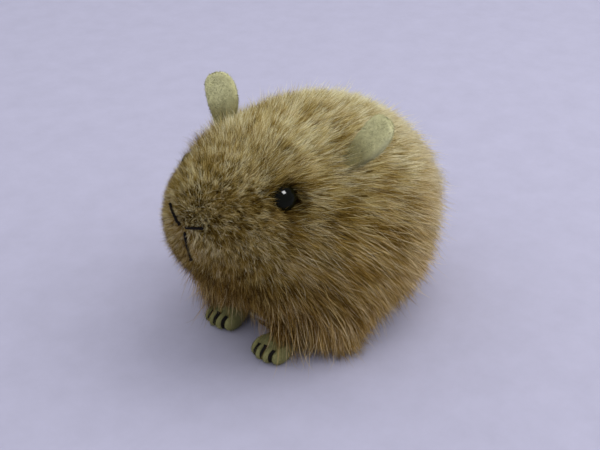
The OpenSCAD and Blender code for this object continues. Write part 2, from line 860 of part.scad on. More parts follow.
// Dished wheel: rim, web and hub, with a ring of holes in the web
module road_wheel() {
    holes = 6;
    hole_d = 2.2;
    face = (track_w + tyre_w) / 2 - rim_set_in;
    rim_w = tyre_w - 2 * rim_set_in;
    color([0.62, 0.16, 0.12])
        on_axle(axle_at, face) {
            difference() {
                cylinder(r = rim_r, h = rim_w);
                translate([0, 0, -cut]) cylinder(r = rim_r - rim_t, h = rim_w - web_t + cut);
                translate([0, 0, -cut]) cylinder(r = axle_d / 2 + seat_gap, h = rim_w + 2 * cut);
                for (k = [0 : holes - 1])
                    rotate(k * 360 / holes)
                        translate([(rim_r - rim_t + hub_r) / 2, 0, -cut])
                            cylinder(d = hole_d, h = rim_w + 2 * cut);
            }
            translate([0, 0, face - hub_end]) ring(hub_r, axle_d / 2 + seat_gap, hub_end - hub_in);
        }
}

module wheel_left() {
    road_wheel();
}

module wheel_right() {
    mirror([0, 1, 0]) road_wheel();
}

module tyre() {
    edge = 0.5;
    inner_r = rim_r + seat_gap;
    color([0.08, 0.08, 0.08])
        on_axle(axle_at, (track_w + tyre_w) / 2)
            rotate_extrude()
                polygon([
                    [inner_r, 0], [tyre_d / 2 - edge, 0], [tyre_d / 2, edge],
                    [tyre_d / 2, tyre_w - edge], [tyre_d / 2 - edge, tyre_w], [inner_r, tyre_w]
                ]);
}

module tyre_left() {
    tyre();
}

module tyre_right() {
    mirror([0, 1, 0]) tyre();
}

// Riveted flush with both lugs, so that nothing overhangs the base
module roller_pin() {
    pin_half = lug_y + lug_t;
    color([0.75, 0.76, 0.78])
        on_axle([roller_x, roller_z], pin_half) cylinder(d = roller_pin_d, h = 2 * pin_half);
}

module front_roller() {
    edge = 0.4;
    bore_r = roller_pin_d / 2 + run_gap;
    color([0.1, 0.1, 0.1])
        on_axle([roller_x, roller_z], roller_w / 2)
            rotate_extrude()
                polygon([
                    [bore_r, 0], [roller_d / 2 - edge, 0], [roller_d / 2, edge],
                    [roller_d / 2, roller_w - edge], [roller_d / 2 - edge, roller_w], [bore_r, roller_w]
                ]);
}

// Gear train

module intermediate_arbor() {
    half = bush_end + pin_proud;
    shoulder_w = 1;
    shoulder_step = 0.6;
    shoulder_d = middle_d + 2 * shoulder_step;
    color([0.75, 0.76, 0.78]) {
        on_axle(middle_at, half) cylinder(d = middle_d, h = 2 * half);
        both_sides()
            on_axle(middle_at, plate_in - side_gap) cylinder(d = shoulder_d, h = shoulder_w);
    }
}

module intermediate_pinion() {
    color([0.78, 0.62, 0.3])
        on_axle(middle_at, middle_pinion_left)
            rotate(middle_turn) gear(pinion_teeth, pinion_w, middle_d / 2 + seat_gap);
}

module intermediate_wheel() {
    color([0.8, 0.66, 0.34])
        on_axle(middle_at, middle_wheel_left)
            rotate(middle_turn) gear(middle_teeth, wheel_t, middle_d / 2 + seat_gap);
}

module great_wheel() {
    hub_w = great_right + plate_in - side_gap;
    color([0.8, 0.66, 0.34]) {
        on_axle(arbor_at, great_left)
            difference() {
                rotate(great_turn) gear(great_teeth, wheel_t, arbor_d / 2 + run_gap);
                rotate(click_angle)
                    translate([click_r, 0, -cut])
                        cylinder(d = click_pin_d + 2 * seat_gap, h = wheel_t + 2 * cut);
            }
        on_axle(arbor_at, great_left) ring(great_hub_r, arbor_d / 2 + run_gap, wheel_t + hub_w);
    }
}

// Leaf click: pinned to the great wheel, its tip resting in the ratchet's teeth
click_r = 8.6;
click_angle = 60;
click_pin_d = 1.2;
click_head_d = 2;
click_t = 0.5;
click_set_in = 0.05;
click_gap = 0.25;
click_sweep = 62;
click_left = ratchet_left - click_set_in;
click_w = ratchet_t - 2 * click_set_in;
click_tip_r = ratchet_r + click_gap;
click_tip_angle = click_angle - click_sweep;
click_root = click_r * [cos(click_angle), sin(click_angle)];
click_rivet_t = 0.3;

module click() {
    tip = click_tip_r * [cos(click_tip_angle), sin(click_tip_angle)];
    span = tip - click_root;
    color([0.6, 0.62, 0.66])
        on_axle(arbor_at, click_left)
            difference() {
                union() {
                    translate(click_root) cylinder(d = click_head_d, h = click_w);
                    translate(click_root) rotate(atan2(span[1], span[0]))
                        translate([0, -click_t / 2, 0]) cube([norm(span), click_t, click_w]);
                }
                translate([click_root[0], click_root[1], -cut])
                    cylinder(d = click_pin_d + 2 * seat_gap, h = click_w + 2 * cut);
            }
}

module click_rivet() {
    top = click_left + click_rivet_t;
    color([0.75, 0.76, 0.78]) {
        on_axle(arbor_at + click_root, top) cylinder(d = click_head_d, h = click_rivet_t);
        on_axle(arbor_at + click_root, top) cylinder(d = click_pin_d, h = top - great_right + click_rivet_t);
        on_axle(arbor_at + click_root, great_right) cylinder(d = click_head_d, h = click_rivet_t);
    }
}

collar_w = 1;
collar_wall = 1;

module winding_arbor() {
    left_end = bush_end + side_gap + collar_w + pin_proud;
    color([0.75, 0.76, 0.78]) {
        on_axle(arbor_at, left_end) cylinder(d = arbor_d, h = left_end + arbor_end);
        on_axle(arbor_at, plate_in - side_gap) cylinder(r = collet_r, h = collet_w);
    }
}

module arbor_collar() {
    color([0.72, 0.73, 0.75])
        on_axle(arbor_at, bush_end + side_gap + collar_w)
            ring(arbor_d / 2 + collar_wall, arbor_d / 2 + seat_gap, collar_w);
}

// Saw teeth: each rises slowly and falls straight back
module ratchet_wheel() {
    tooth_h = 0.9;
    rise_share = 0.92;
    root_r = ratchet_r - tooth_h;
    step = 360 / ratchet_teeth;
    color([0.6, 0.62, 0.66])
        on_axle(arbor_at, ratchet_left)
            difference() {
                linear_extrude(ratchet_t)
                    polygon([
                        for (k = [0 : ratchet_teeth - 1]) each [
                            root_r * [cos(k * step), sin(k * step)],
                            ratchet_r * [cos((k + rise_share) * step), sin((k + rise_share) * step)]
                        ]
                    ]);
                translate([0, 0, -cut]) cylinder(r = arbor_d / 2 + seat_gap, h = ratchet_t + 2 * cut);
            }
}

// Spiral strip from the arbor's collet out to the front pillar, with an eye round the pillar
module mainspring() {
    steps = 40;
    count = steps * spring_turns;
    pillar_way = front_pillar - arbor_at;
    end_angle = atan2(pillar_way[1], pillar_way[0]);
    eye_in = pillar_d / 2 + seat_gap;
    start_r = collet_r + seat_gap;
    hook_reach = norm(pillar_way) - eye_in - spring_t - spring_r;
    hook_turns = 0.4;
    hook_steps = steps * hook_turns;
    function lead(i) = smooth((i - count + hook_steps) / hook_steps) * hook_reach;
    function strip(i, extra) =
        (start_r + (spring_r - start_r) * i / count + lead(i) + extra)
            * [cos(end_angle + (i - count) * 360 / steps), sin(end_angle + (i - count) * 360 / steps)];
    color([0.42, 0.45, 0.5])
        on_axle(arbor_at, spring_left)
            linear_extrude(spring_w)
                polygon(concat(
                    [for (i = [0 : count]) strip(i, 0)],
                    [for (i = [count : -1 : 0]) strip(i, spring_t)]
                ));
    color([0.42, 0.45, 0.5])
        on_axle(front_pillar, spring_left) ring(eye_in + spring_t, eye_in, spring_w);
}

// Winding key: two round wings on a boss
module winding_key() {
    color([0.8, 0.72, 0.5])
        on_axle(arbor_at, -boss_in)
            rotate(key_tilt)
                difference() {
                    union() {
                        cylinder(d = boss_d, h = boss_out - boss_in);
                        translate([0, bow_t / 2, bow_in - boss_in + wing_d / 2]) rotate([90, 0, 0])
                            linear_extrude(bow_t) bow_outline();
                    }
                    translate([0, 0, -cut])
                        cylinder(r = arbor_d / 2 + seat_gap, h = arbor_end - boss_in + cut);
                }
}

module bow_outline() {
    difference() {
        union() {
            for (side = [-1, 1]) translate([side * wing_span / 2, 0]) circle(d = wing_d);
            translate([-wing_span / 2, -wing_d / 4]) square([wing_span, wing_d / 2]);
        }
        for (side = [-1, 1]) translate([side * wing_span / 2, 0]) circle(d = wing_hole_d);
    }
}

// Hollow rivet that lines the hole in the flank
module key_eyelet() {
    color([0.78, 0.62, 0.3]) {
        on_axle(arbor_at, -eyelet_in) ring(eyelet_r, eyelet_bore, eyelet_end - eyelet_in);
        on_axle(arbor_at, -eyelet_end + eyelet_brim_t) ring(eyelet_brim_r, eyelet_bore, eyelet_brim_t);
    }
}

// Puts a piece where the animal's nose-to-rump plane lies
module at_mid() {
    translate([0, mid_y, 0]) children();
}

at_mid() pelt();
at_mid() body_shell();
at_mid() shell_screws();
at_mid() eye_left();
at_mid() eye_right();
at_mid() eye_washers();
at_mid() ear_left();
at_mid() ear_right();
at_mid() nose_stitches();
at_mid() mouth_stitch();
at_mid() paw_left();
at_mid() paw_right();
at_mid() base_plate();
at_mid() chassis_screws();
at_mid() motor_plate_left();
at_mid() motor_plate_right();
at_mid() plate_pillars();
at_mid() axle_bushes();
at_mid() intermediate_bushes();
at_mid() arbor_bushes();
at_mid() mainspring();
at_mid() key_eyelet();
at_mid() roller_pin();
at_mid() drive_axle();
at_mid() drive_pinion();
at_mid() wheel_left();
at_mid() wheel_right();
at_mid() tyre_left();
at_mid() tyre_right();
at_mid() intermediate_arbor();
at_mid() intermediate_pinion();
at_mid() intermediate_wheel();
at_mid() great_wheel();
at_mid() click();
at_mid() click_rivet();
at_mid() winding_arbor();
at_mid() arbor_collar();
at_mid() ratchet_wheel();
at_mid() winding_key();
at_mid() front_roller();
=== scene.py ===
"""Dresses the clockwork mouse: combed fur, felt ears and paws, bead eyes, a sewn nose, bright works."""
import json
import math

import bmesh
import bpy
import numpy as np
from bpy.props import FloatProperty, FloatVectorProperty, IntProperty, PointerProperty
from mathutils import Matrix, Vector
from mathutils.bvhtree import BVHTree


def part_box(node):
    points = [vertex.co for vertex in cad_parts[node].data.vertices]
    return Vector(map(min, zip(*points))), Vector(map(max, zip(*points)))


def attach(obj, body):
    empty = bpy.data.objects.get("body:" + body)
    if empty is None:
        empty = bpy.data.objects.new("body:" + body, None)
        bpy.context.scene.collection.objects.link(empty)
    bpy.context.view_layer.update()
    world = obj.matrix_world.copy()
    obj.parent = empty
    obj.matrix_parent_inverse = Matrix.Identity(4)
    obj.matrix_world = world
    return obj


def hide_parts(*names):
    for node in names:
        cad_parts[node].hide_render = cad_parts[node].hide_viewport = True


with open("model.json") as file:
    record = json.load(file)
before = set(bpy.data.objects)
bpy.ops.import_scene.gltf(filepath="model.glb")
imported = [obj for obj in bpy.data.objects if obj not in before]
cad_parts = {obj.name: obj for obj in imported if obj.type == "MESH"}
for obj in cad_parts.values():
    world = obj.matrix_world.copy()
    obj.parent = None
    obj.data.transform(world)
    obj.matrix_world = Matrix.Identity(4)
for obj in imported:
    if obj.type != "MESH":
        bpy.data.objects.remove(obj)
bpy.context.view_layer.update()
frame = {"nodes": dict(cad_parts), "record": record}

bl_info = {
    "name": "Clockwork Mouse",
    "version": (1, 0, 0),
    "blender": (4, 5, 0),
    "location": "3D View > Sidebar > Mouse",
    "description": "Dresses the clockwork mouse in fur, felt, thread and metal finishes",
    "category": "Object",
}

# Everything below is worked out in millimetres and written to meshes in metres.
MM = 0.001


def node_box(name):
    """A frame node's lowest and highest corner in millimetres."""
    low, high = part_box(name)
    return np.array(low) / MM, np.array(high) / MM


MID_Y = np.mean(node_box("pelt"), 0)[1]
CORE = np.array([0.0, MID_Y, 24.0])
UP = np.array([0.0, 0.0, 1.0])
SIDES = (("left", 1), ("right", -1))

# The skin is a net of columns round the body and rows from the crown to the hem, found by rays from outside.
SKIN_COLUMNS = 160
SKIN_ROWS = 64
SKIN_PASSES = 4
RAY_START = 120.0
NEAREST_SKIN = 8.0
NEAREST_HEM = 4.0
HEM_RANGE = (0.1, 14.0)
HEM_TRIES = 14
HEM_MARGIN = 0.03

# Depth of the backing's inside, its least thickness, and the least height of a hair above the floor.
PELT_INNER = 3.9
BACKING_LEAST = 0.4
FLOOR_CLEAR = 0.2

# Coat pieces, nose to rump: name, foremost x, rearmost x, and whether its hair is short and curly.
COAT_BANDS = (
    ("muzzle", 60.0, 31.0, True),
    ("head", 31.0, 18.0, True),
    ("shoulder", 18.0, 3.0, False),
    ("flank", 3.0, -15.0, False),
    ("haunch", -15.0, -29.0, False),
    ("rump", -29.0, -60.0, False),
)

# Inputs of the hair tree for each kind of hair, and how far face hairs clump against body hairs.
FACE_HAIR = {"Rings": 1, "Lock": 0.6 * MM, "Tuft Clump": 0.0, "Swirl": 0.9, "Tone Spread": 0.9}
BODY_HAIR = {"Rings": 2, "Lock": 1.7 * MM, "Tuft Clump": 0.22, "Swirl": 0.9, "Tone Spread": 0.56}
STRAY_HAIR = {"Rings": 3, "Lock Clump": 0.0, "Tuft Clump": 0.0, "Swirl": 1.2}
FUZZ_HAIR = {"Rings": 1, "Lock Clump": 0.0, "Tuft Clump": 0.0, "Width": 0.07 * MM, "Seed": 5}
FACE_CLUMP = 0.3
STRAY_SEED = 40

# How far single hairs differ from the fields they grow in.
LENGTH_SPREAD = (0.68, 1.16)
LIFT_SPREAD = (-0.13, 0.13)
TONE_SPREAD = (-0.26, 0.26)

# A hair's steepness at its root and tip, the tip's frizz and sag, how late tips gather, and its taper.
ROOT_STEEP = 2.2
TIP_STEEP = 0.75
TIP_FRIZZ = 1.8
TIP_SAG = (0.0, 0.0, -0.12)
GATHER_POWER = 1.3
TAPER_POWER = -0.45
TAPER_LEAST = 0.02

# Scales of the coat's patches and swirls. The patches' tone follows their noise, and the scale of the frizz
# and the strength of the comb follow the curl, each by a slope and a start.
PATCH_SCALE = 130.0
SWIRL_SCALE = 75.0
PATCH_TONE = (0.5, -0.25)
FRIZZ_SCALE = (1800.0, 400.0)
COMB_STRENGTH = (-0.55, 1.05)

# A hair's place on its map: the room its tone takes, and how far its sides lie apart.
TONE_ROOM = (0.96, 0.02)
SIDE_SLANT = 0.7
SIDE_ROOM = 0.005

# Fields that only serve the making of a piece of hair.
WORKING_FIELDS = (
    "fur_comb", "fur_length", "fur_lift", "fur_curl", "fur_tone", "fur_density",
    "root", "up", "growth", "strand")

# Each field's value on the body and on the face, then what the coat's zones add to it.
BODY_FACE = {
    "lift": (0.25, 0.68), "depth": (2.6, 1.5), "tone": (0.40, 0.41), "curl": (0.46, 1.0),
    "fall": (0.3, 0.12), "stray": (0.9, 2.6)}
LIFT_SHIFTS = {
    "top": 0.08, "chest": -0.16, "elbow": 0.26, "throat": -0.25, "rear": -0.06, "tuck": -0.25,
    "muzzle": -0.25}
DEPTH_SHIFTS = {"back": -0.2, "rear_side": 0.8, "throat": 1.6, "muzzle": -0.7, "tuck": 1.2}
# The tone shifts also paint light and shade into the hair's colour: top, high, behind, rear and low_behind
# make the fur paler, partly as the coat's own paler back and partly as painted light from above and behind;
# low, jaw and throat make it darker as painted shade.
TONE_AND_PAINTED_LIGHT_SHIFTS = {
    "top": 0.1, "high": 0.22, "low": -0.05, "low_behind": 0.2, "muzzle": 0.15, "behind": 0.36, "rear": 0.18,
    "chest": 0.16, "throat": -0.12, "jaw": -0.27, "skirt": 0.2, "waist": -0.06}

# Lengths on the chest and elbows, how much shorter hair is on the back and under the belly, and how far it
# hangs straight down near the floor and at the front.
CHEST_LENGTH = 9.0
ELBOW_LENGTH = 14.0
BACK_SHORTER = 0.3
TUCK_SHORTER = 0.35
LOW_FALL = 0.33
FRONT_FALL = 0.9

# Distances over which hair stands off an eye, is long above it, is darkened round it as painted shadow,
# stands up at an ear and is short along a stitch.
EYE_RING = (2.4, 0.0)
EYE_BROW = (4.0, 1.0)
EYE_PAINTED_SHADOW = (3.4, 0.5)
EAR_RING = (6.5, 3.0)
STITCH_RING = (0.5, 2.6)
STITCH_LENGTH = 0.42

# Under the key's sweep the hair is short and flat, and none grows in the eyelet.
KEY_LENGTH = 5.0
KEY_LIFT = 0.2
KEY_MARGIN = 7.0
EYELET_MARGIN = 0.4

# Nets of the beads and ears. For an ear: its widest place along its length, its width at the root and there,
# its least width, the powers of its round tip, edge and droop, its bow and lean, its cup's rise, and the
# shares of its length from unshaded to fully darkened by painted shade towards the root.
BEAD_SIDES = 48
BEAD_RINGS = 30
BEAD_SWEEP = math.radians(158)
EAR_ROWS = 34
EAR_COLUMNS = 22
EAR_WIDEST = 0.64
EAR_WAIST = (0.46, 1.04)
EAR_LEAST = 0.02
TIP_POWER = 3.2
EDGE_POWER = 2.4
DROOP_POWER = 1.4
EAR_BOW = 1.1
EAR_LEAN = 0.8
CUP_RISE = 0.45
EAR_ROOT_SHADING = (0.82, 0.3)

# The paws' voxels, the length of a toe, its place against an even spread, and how far outer toes stand back.
# A toe's line is found by rays at a heart behind its tip, over an arc, and is sunk into the felt.
PAW_VOXEL = 0.22
TOE_LENGTH = 3.6
TOE_SPREAD = 0.94
TOE_BACK = 0.45
TOE_HEART = (3.9, 0.9)
TOE_ARC = (math.radians(72), math.radians(-8))
TOE_STITCHES = 12
TOE_RAY = 20.0
TOE_SINK = 0.2

# Lamps: name, place in metres, size, power, colour, and the collection that alone shows it.
LAMPS = (
    ("overhead", (-0.16, 0.16, 0.60), 0.5, 1.0, (1.0, 0.98, 0.94), None),
    ("glint", (0.03, 0.20, 0.61), 0.25, 13.0, (1.0, 1.0, 1.0), "polished"),
    ("rump_fill", (-0.38, 0.42, 0.30), 0.5, 0.7, (1.0, 0.99, 0.97), None),
    ("front_fill", (0.58, 0.06, 0.30), 0.5, 0.1, (0.98, 0.98, 1.0), None),
)
SKY_LIGHT = (0.84, 0.84, 0.85, 1.0)
FLOOR_REACH = 1500.0


def number_property(name, description, default, **more):
    """A number, at least 0 unless told otherwise."""
    return FloatProperty(name=name, description=description, default=default, **{"min": 0.0, **more})


def length_property(name, description, default):
    """A length in metres, given here in millimetres."""
    return number_property(name, description, default * MM, unit="LENGTH", precision=5)


def angle_property(name, description, degrees):
    """An angle, given here in degrees."""
    return FloatProperty(name=name, description=description, default=math.radians(degrees), subtype="ANGLE")


def colour_property(name, description, default):
    """A colour that the sidebar shows as a swatch."""
    return FloatVectorProperty(
        name=name, description=description, default=default, size=3, subtype="COLOR", min=0.0, max=1.0)


class CoatSettings(bpy.types.PropertyGroup):
    """Lengths, thickness and colours of the fur."""

    face_length: length_property("Face hair", "Length of the hair on the muzzle and cheeks", 3.0)
    body_length: length_property("Body hair", "Length of the hair on the flanks and rump", 10.5)
    stray_length: number_property("Stray hair", "Length of a loose hair against the coat round it", 1.15)
    face_width: length_property("Face hair width", "Thickness of a face hair at its root", 0.11)
    body_width: length_property("Body hair width", "Thickness of a body hair at its root", 0.155)
    face_density: number_property("Face density", "Face hairs on a square millimetre", 50.0)
    body_density: number_property("Body density", "Body hairs on a square millimetre", 14.5)
    stray_density: number_property("Stray density", "Stray hairs on a square millimetre", 0.5)
    clump: number_property(
        "Clumping", "How far body hairs gather into locks at their tips", 0.4, max=1.0, subtype="FACTOR")
    seed: IntProperty(name="Seed", description="Fixes the scatter of the hairs", default=11)
    shade: colour_property("Shade", "Colour of the roots and of the darkest hairs", (0.030, 0.018, 0.007))
    umber: colour_property("Umber", "Colour of the dark hairs", (0.130, 0.076, 0.012))
    brown: colour_property("Brown", "Colour of the middle hairs", (0.350, 0.232, 0.050))
    tan: colour_property("Tan", "Colour of the light hairs", (0.660, 0.535, 0.235))
    warm: colour_property("Warm", "Tint of the fur near the floor", (1.000, 0.885, 0.750))
    cool: colour_property("Cool", "Tint of the fur on the back", (0.955, 1.000, 1.000))
    cream: colour_property("Cream", "Colour of the palest hairs", (0.980, 0.920, 0.670))


class FaceSettings(bpy.types.PropertyGroup):
    """Sizes of the sewn and felt pieces."""

    ear_thickness: length_property("Ear felt", "Thickness of the felt of an ear", 3.2)
    ear_length: number_property("Ear length", "Length of the felt against its solid", 0.94, min=0.5, max=1.2)
    ear_cup: length_property("Ear cup", "How far the edges of an ear curl forward", 0.9)
    ear_droop: length_property("Ear droop", "How far the tip of an ear bends outward", 2.0)
    ear_turn: angle_property("Ear turn", "Turn of the left ear about its length, outer edge forward", 16.0)
    fuzz_length: length_property("Felt fuzz", "Length of the loose fibres on the felt", 0.7)
    fuzz_density: number_property("Fuzz density", "Loose fibres on a square millimetre of felt", 13.0)
    ply_radius: length_property("Ply", "Radius of one ply of the nose thread", 0.17)
    toe_ply_radius: length_property("Toe ply", "Radius of one ply of the toe thread", 0.48)
    thread_twist: number_property("Twist", "Turns of the nose thread in a millimetre", 0.42)
    toe_twist: number_property("Toe twist", "Turns of the toe thread in a millimetre", 0.08)
    nose_rise: length_property("Nose rise", "How far the outer ends of the nose thread are drawn up", 1.3)
    thread_sink: length_property("Thread sink", "Depth of the nose thread under the fur's surface", 0.15)


class FinishSettings(bpy.types.PropertyGroup):
    """Colours of the felt, thread, plastic and metal."""

    felt: colour_property("Felt", "Khaki wool felt", (0.670, 0.655, 0.375))
    # The paws' felt is darker than the ears', partly as painted shade of the body above them.
    paw: colour_property("Paw felt", "Darker felt of the paws", (0.250, 0.240, 0.105))
    # Painted shade laid over the felt at the root of an ear, where it sits in the fur.
    grime: colour_property("Grime", "Soiled felt at the root of an ear", (0.215, 0.185, 0.075))
    thread: colour_property("Thread", "Black embroidery thread", (0.010, 0.008, 0.007))
    bead: colour_property("Bead", "Polished black eye", (0.003, 0.0035, 0.001))
    shell: colour_property("Shell", "Moulded shell under the pelt", (0.120, 0.105, 0.090))
    washer: colour_property("Washer", "Pale moulded washers", (0.620, 0.610, 0.570))
    tin: colour_property("Tin", "Bright tinplate", (0.600, 0.610, 0.610))
    steel: colour_property("Steel", "Drawn steel and zinc screws", (0.560, 0.560, 0.570))
    blued: colour_property("Blued steel", "Tempered spring steel", (0.130, 0.150, 0.200))
    brass: colour_property("Brass", "Stamped brass", (0.700, 0.490, 0.190))
    wash: colour_property("Brass wash", "Brass-washed motor plates", (0.595, 0.4165, 0.1615))
    nickel: colour_property("Nickel", "Plating of the key", (0.640, 0.600, 0.510))
    enamel: colour_property("Enamel", "Red paint of the wheels", (0.380, 0.030, 0.022))
    rubber: colour_property("Rubber", "Tyres and roller", (0.026, 0.025, 0.024))


class StageSettings(bpy.types.PropertyGroup):
    """Camera, background and floor."""

    turn: angle_property("Turn", "Camera's turn from the nose to the animal's left", 39.7)
    rise: angle_property("Rise", "Camera's angle above the floor", 28.7)
    view_angle: angle_property("View angle", "Angle across the picture", 31.7)
    distance: length_property("Distance", "From the camera to its target", 265.0)
    target: FloatVectorProperty(
        name="Target", description="Point that the camera looks at", unit="LENGTH", size=3,
        default=(5.0 * MM, (MID_Y + 3.0) * MM, 27.3 * MM))
    floor: colour_property("Floor", "Pale floor", (0.480, 0.475, 0.625))
    backdrop: colour_property("Backdrop", "Pale background", (0.440, 0.440, 0.600))


def rise(start, end, value):
    """0 at start, 1 at end and smooth between; start may lie above end."""
    share = np.clip((value - start) / (end - start), 0.0, 1.0)
    return share * share * (3 - 2 * share)


def mixed(first, second, share):
    """From first to second by share."""
    return first + (second - first) * share


def unit(vectors):
    """Vectors of length one, along the last axis."""
    lengths = np.linalg.norm(vectors, axis=-1, keepdims=True)
    return vectors / np.maximum(lengths, 1e-9)


def turns_round(count):
    """Evenly spread angles round a full turn, half a step off the axes."""
    return (np.arange(count) + 0.5) * 2 * np.pi / count


def mesh_points(mesh):
    """A mesh's vertices in millimetres."""
    flat = np.empty(len(mesh.vertices) * 3)
    mesh.vertices.foreach_get("co", flat)
    return flat.reshape(-1, 3) / MM


def node_points(name):
    """A frame node's vertices in millimetres."""
    return mesh_points(frame["nodes"][name].data)


def ray_tree(mesh):
    """A mesh that rays can be cast on, in millimetres."""
    points = [tuple(vertex.co / MM) for vertex in mesh.vertices]
    return BVHTree.FromPolygons(points, [tuple(face.vertices) for face in mesh.polygons])


def placed(name, data):
    """A new object in the scene."""
    made = bpy.data.objects.new(name, data)
    bpy.context.scene.collection.objects.link(made)
    return made


def new_object(name, points, faces, edges=()):
    """A smooth-shaded object from points in millimetres."""
    mesh = bpy.data.meshes.new(name)
    mesh.from_pydata((np.asarray(points) * MM).tolist(), list(edges), list(faces))
    mesh.shade_smooth()
    mesh.update()
    return placed(name, mesh)


def as_plain_mesh(source, name):
    """A new object holding source's evaluated mesh, with source and its modifiers gone."""
    graph = bpy.context.evaluated_depsgraph_get()
    mesh = bpy.data.meshes.new_from_object(
        source.evaluated_get(graph), preserve_all_data_layers=True, depsgraph=graph)
    mesh.name = name
    bpy.data.objects.remove(source)
    return placed(name, mesh)


def shared_group(name):
    """A collection that several operators use, made at its first use."""
    return bpy.data.collections.get(name) or bpy.data.collections.new(name)


def set_material(piece, material):
    """Gives a piece one material."""
    piece.data.materials.clear()
    piece.data.materials.append(material)


def seat(piece, slot, *nodes):
    """Rides a finished piece on the chassis and hides the frame nodes it stands for; its slot is not used.
    """
    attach(piece, "chassis")
    if nodes:
        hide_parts(*nodes)


class NodeBench:
    """Places nodes in a tree and joins them, one call for each node."""

    def __init__(self, tree):
        self.tree = tree

    def put(self, socket, value):
        """Joins a socket to another one, or gives it a value."""
        if isinstance(value, bpy.types.NodeSocket):
            self.tree.links.new(value, socket)
        else:
            socket.default_value = value

    def node(self, kind, inputs=None, **settings):
        """A node with its settings and inputs."""
        made = self.tree.nodes.new(kind)
        for key, value in settings.items():
            setattr(made, key, value)
        for key, value in (inputs or {}).items():
            self.put(made.inputs[key], value)
        return made

    def geometry(self, kind, inputs=None, **settings):
        """First output of a geometry node."""
        return self.node(f"GeometryNode{kind}", inputs, **settings).outputs[0]

    def math(self, operation, *values, clamp=False):
        """The result of arithmetic on numbers."""
        inputs = dict(enumerate(values))
        return self.node("ShaderNodeMath", inputs, operation=operation, use_clamp=clamp).outputs[0]

    def vector(self, operation, *values):
        """The result of arithmetic on vectors."""
        made = self.node("ShaderNodeVectorMath", dict(enumerate(values)), operation=operation)
        return made.outputs["Value" if operation == "DOT_PRODUCT" else "Vector"]

    def scaled(self, vector, scale):
        """A vector times a number."""
        inputs = {0: vector, "Scale": scale}
        return self.node("ShaderNodeVectorMath", inputs, operation="SCALE").outputs["Vector"]

    def total(self, first, *others):
        """The sum of vectors."""
        for other in others:
            first = self.vector("ADD", first, other)
        return first

    def weighed(self, *pairs):
        """The sum of vectors, each times its weight."""
        return self.total(*[self.scaled(vector, weight) for vector, weight in pairs])

    def along(self, vector, up):
        """The part of a vector that lies along the skin."""
        return self.vector("SUBTRACT", vector, self.scaled(up, self.vector("DOT_PRODUCT", vector, up)))

    def split(self, vector):
        """The three parts of a vector."""
        return self.node("ShaderNodeSeparateXYZ", {0: vector}).outputs

    def joined(self, x, y, z):
        """A vector from its three parts."""
        return self.node("ShaderNodeCombineXYZ", {0: x, 1: y, 2: z}).outputs[0]

    def field(self, name, kind="FLOAT"):
        """A field stored on the geometry."""
        return self.geometry("InputNamedAttribute", {"Name": name}, data_type=kind)

    def vector_field(self, name):
        """A field of vectors stored on the geometry."""
        return self.field(name, "FLOAT_VECTOR")

    def store(self, geometry, name, value, kind="FLOAT_VECTOR", domain="POINT"):
        """Geometry with a field stored on it."""
        inputs = {"Geometry": geometry, "Name": name, "Value": value}
        return self.geometry("StoreNamedAttribute", inputs, data_type=kind, domain=domain)

    def random(self, low, high, seed):
        """A random number between low and high."""
        made = self.node("FunctionNodeRandomValue", {"Seed": seed}, data_type="FLOAT")
        shown = [socket for socket in made.inputs if socket.enabled]
        shown[0].default_value = low
        shown[1].default_value = high
        return next(socket for socket in made.outputs if socket.enabled)

    def noise(self, place, scale, detail, **more):
        """Outputs of a noise texture: its value, then its colour."""
        inputs = {"Vector": place, "Scale": scale, "Detail": detail, **more}
        return self.node("ShaderNodeTexNoise", inputs).outputs

    def gust(self, place, scale, strength):
        """A random vector that changes smoothly from place to place."""
        colour = self.noise(place, scale, 1.0)["Color"]
        return self.scaled(self.vector("SUBTRACT", colour, (0.5, 0.5, 0.5)), strength)

    def cells(self, place, size):
        """Outputs of a texture of cells of the given size."""
        scale = self.math("DIVIDE", 1.0, size)
        return self.node("ShaderNodeTexVoronoi", {"Vector": place, "Scale": scale}).outputs

    def place(self):
        """The place on the object, in metres."""
        return self.node("ShaderNodeTexCoord").outputs["Object"]

    def mix(self, share, first, second, blend="MIX"):
        """One colour laid over another by share."""
        inputs = {0: share, 6: first, 7: second}
        return self.node("ShaderNodeMix", inputs, data_type="RGBA", blend_type=blend).outputs[2]

    def ramp(self, value, stops):
        """A colour ramp with the given places and colours."""
        made = self.node("ShaderNodeValToRGB", {0: value})
        while len(made.color_ramp.elements) < len(stops):
            made.color_ramp.elements.new(0.5)
        for element, (place, colour) in zip(made.color_ramp.elements, stops):
            element.position = place
            element.color = tuple(colour)[:3] + (1.0,)
        return made.outputs[0]

    def bump(self, height, strength, depth):
        """Normals of a relief whose depth is in millimetres."""
        inputs = {"Height": height, "Strength": strength, "Distance": depth * MM}
        return self.node("ShaderNodeBump", inputs).outputs[0]

    def surface(self, **values):
        """Sets or joins the sockets of the material's own shader."""
        shader = self.tree.nodes["Principled BSDF"]
        for name, value in values.items():
            self.put(shader.inputs[name.replace("_", " ")], value)


def new_tree(name, family, inputs, outputs):
    """A node tree with the given input defaults and output kinds, its bench and what it is given."""
    tree = bpy.data.node_groups.new(name, f"{family}NodeTree")
    for label, default in inputs.items():
        kind = {float: "Float", int: "Int"}.get(type(default), label)
        socket = tree.interface.new_socket(label, in_out="INPUT", socket_type=f"NodeSocket{kind}")
        if default is not None:
            socket.default_value = default
    for label, kind in outputs.items():
        tree.interface.new_socket(label, in_out="OUTPUT", socket_type=f"NodeSocket{kind}")
    bench = NodeBench(tree)
    return tree, bench, bench.node("NodeGroupInput").outputs


def close_tree(bench, geometry, material):
    """Ends a geometry tree with real geometry in one material."""
    geometry = bench.geometry("RealizeInstances", {"Geometry": geometry})
    geometry = bench.geometry("SetMaterial", {"Geometry": geometry, "Material": material})
    bench.node("NodeGroupOutput", {"Geometry": geometry})


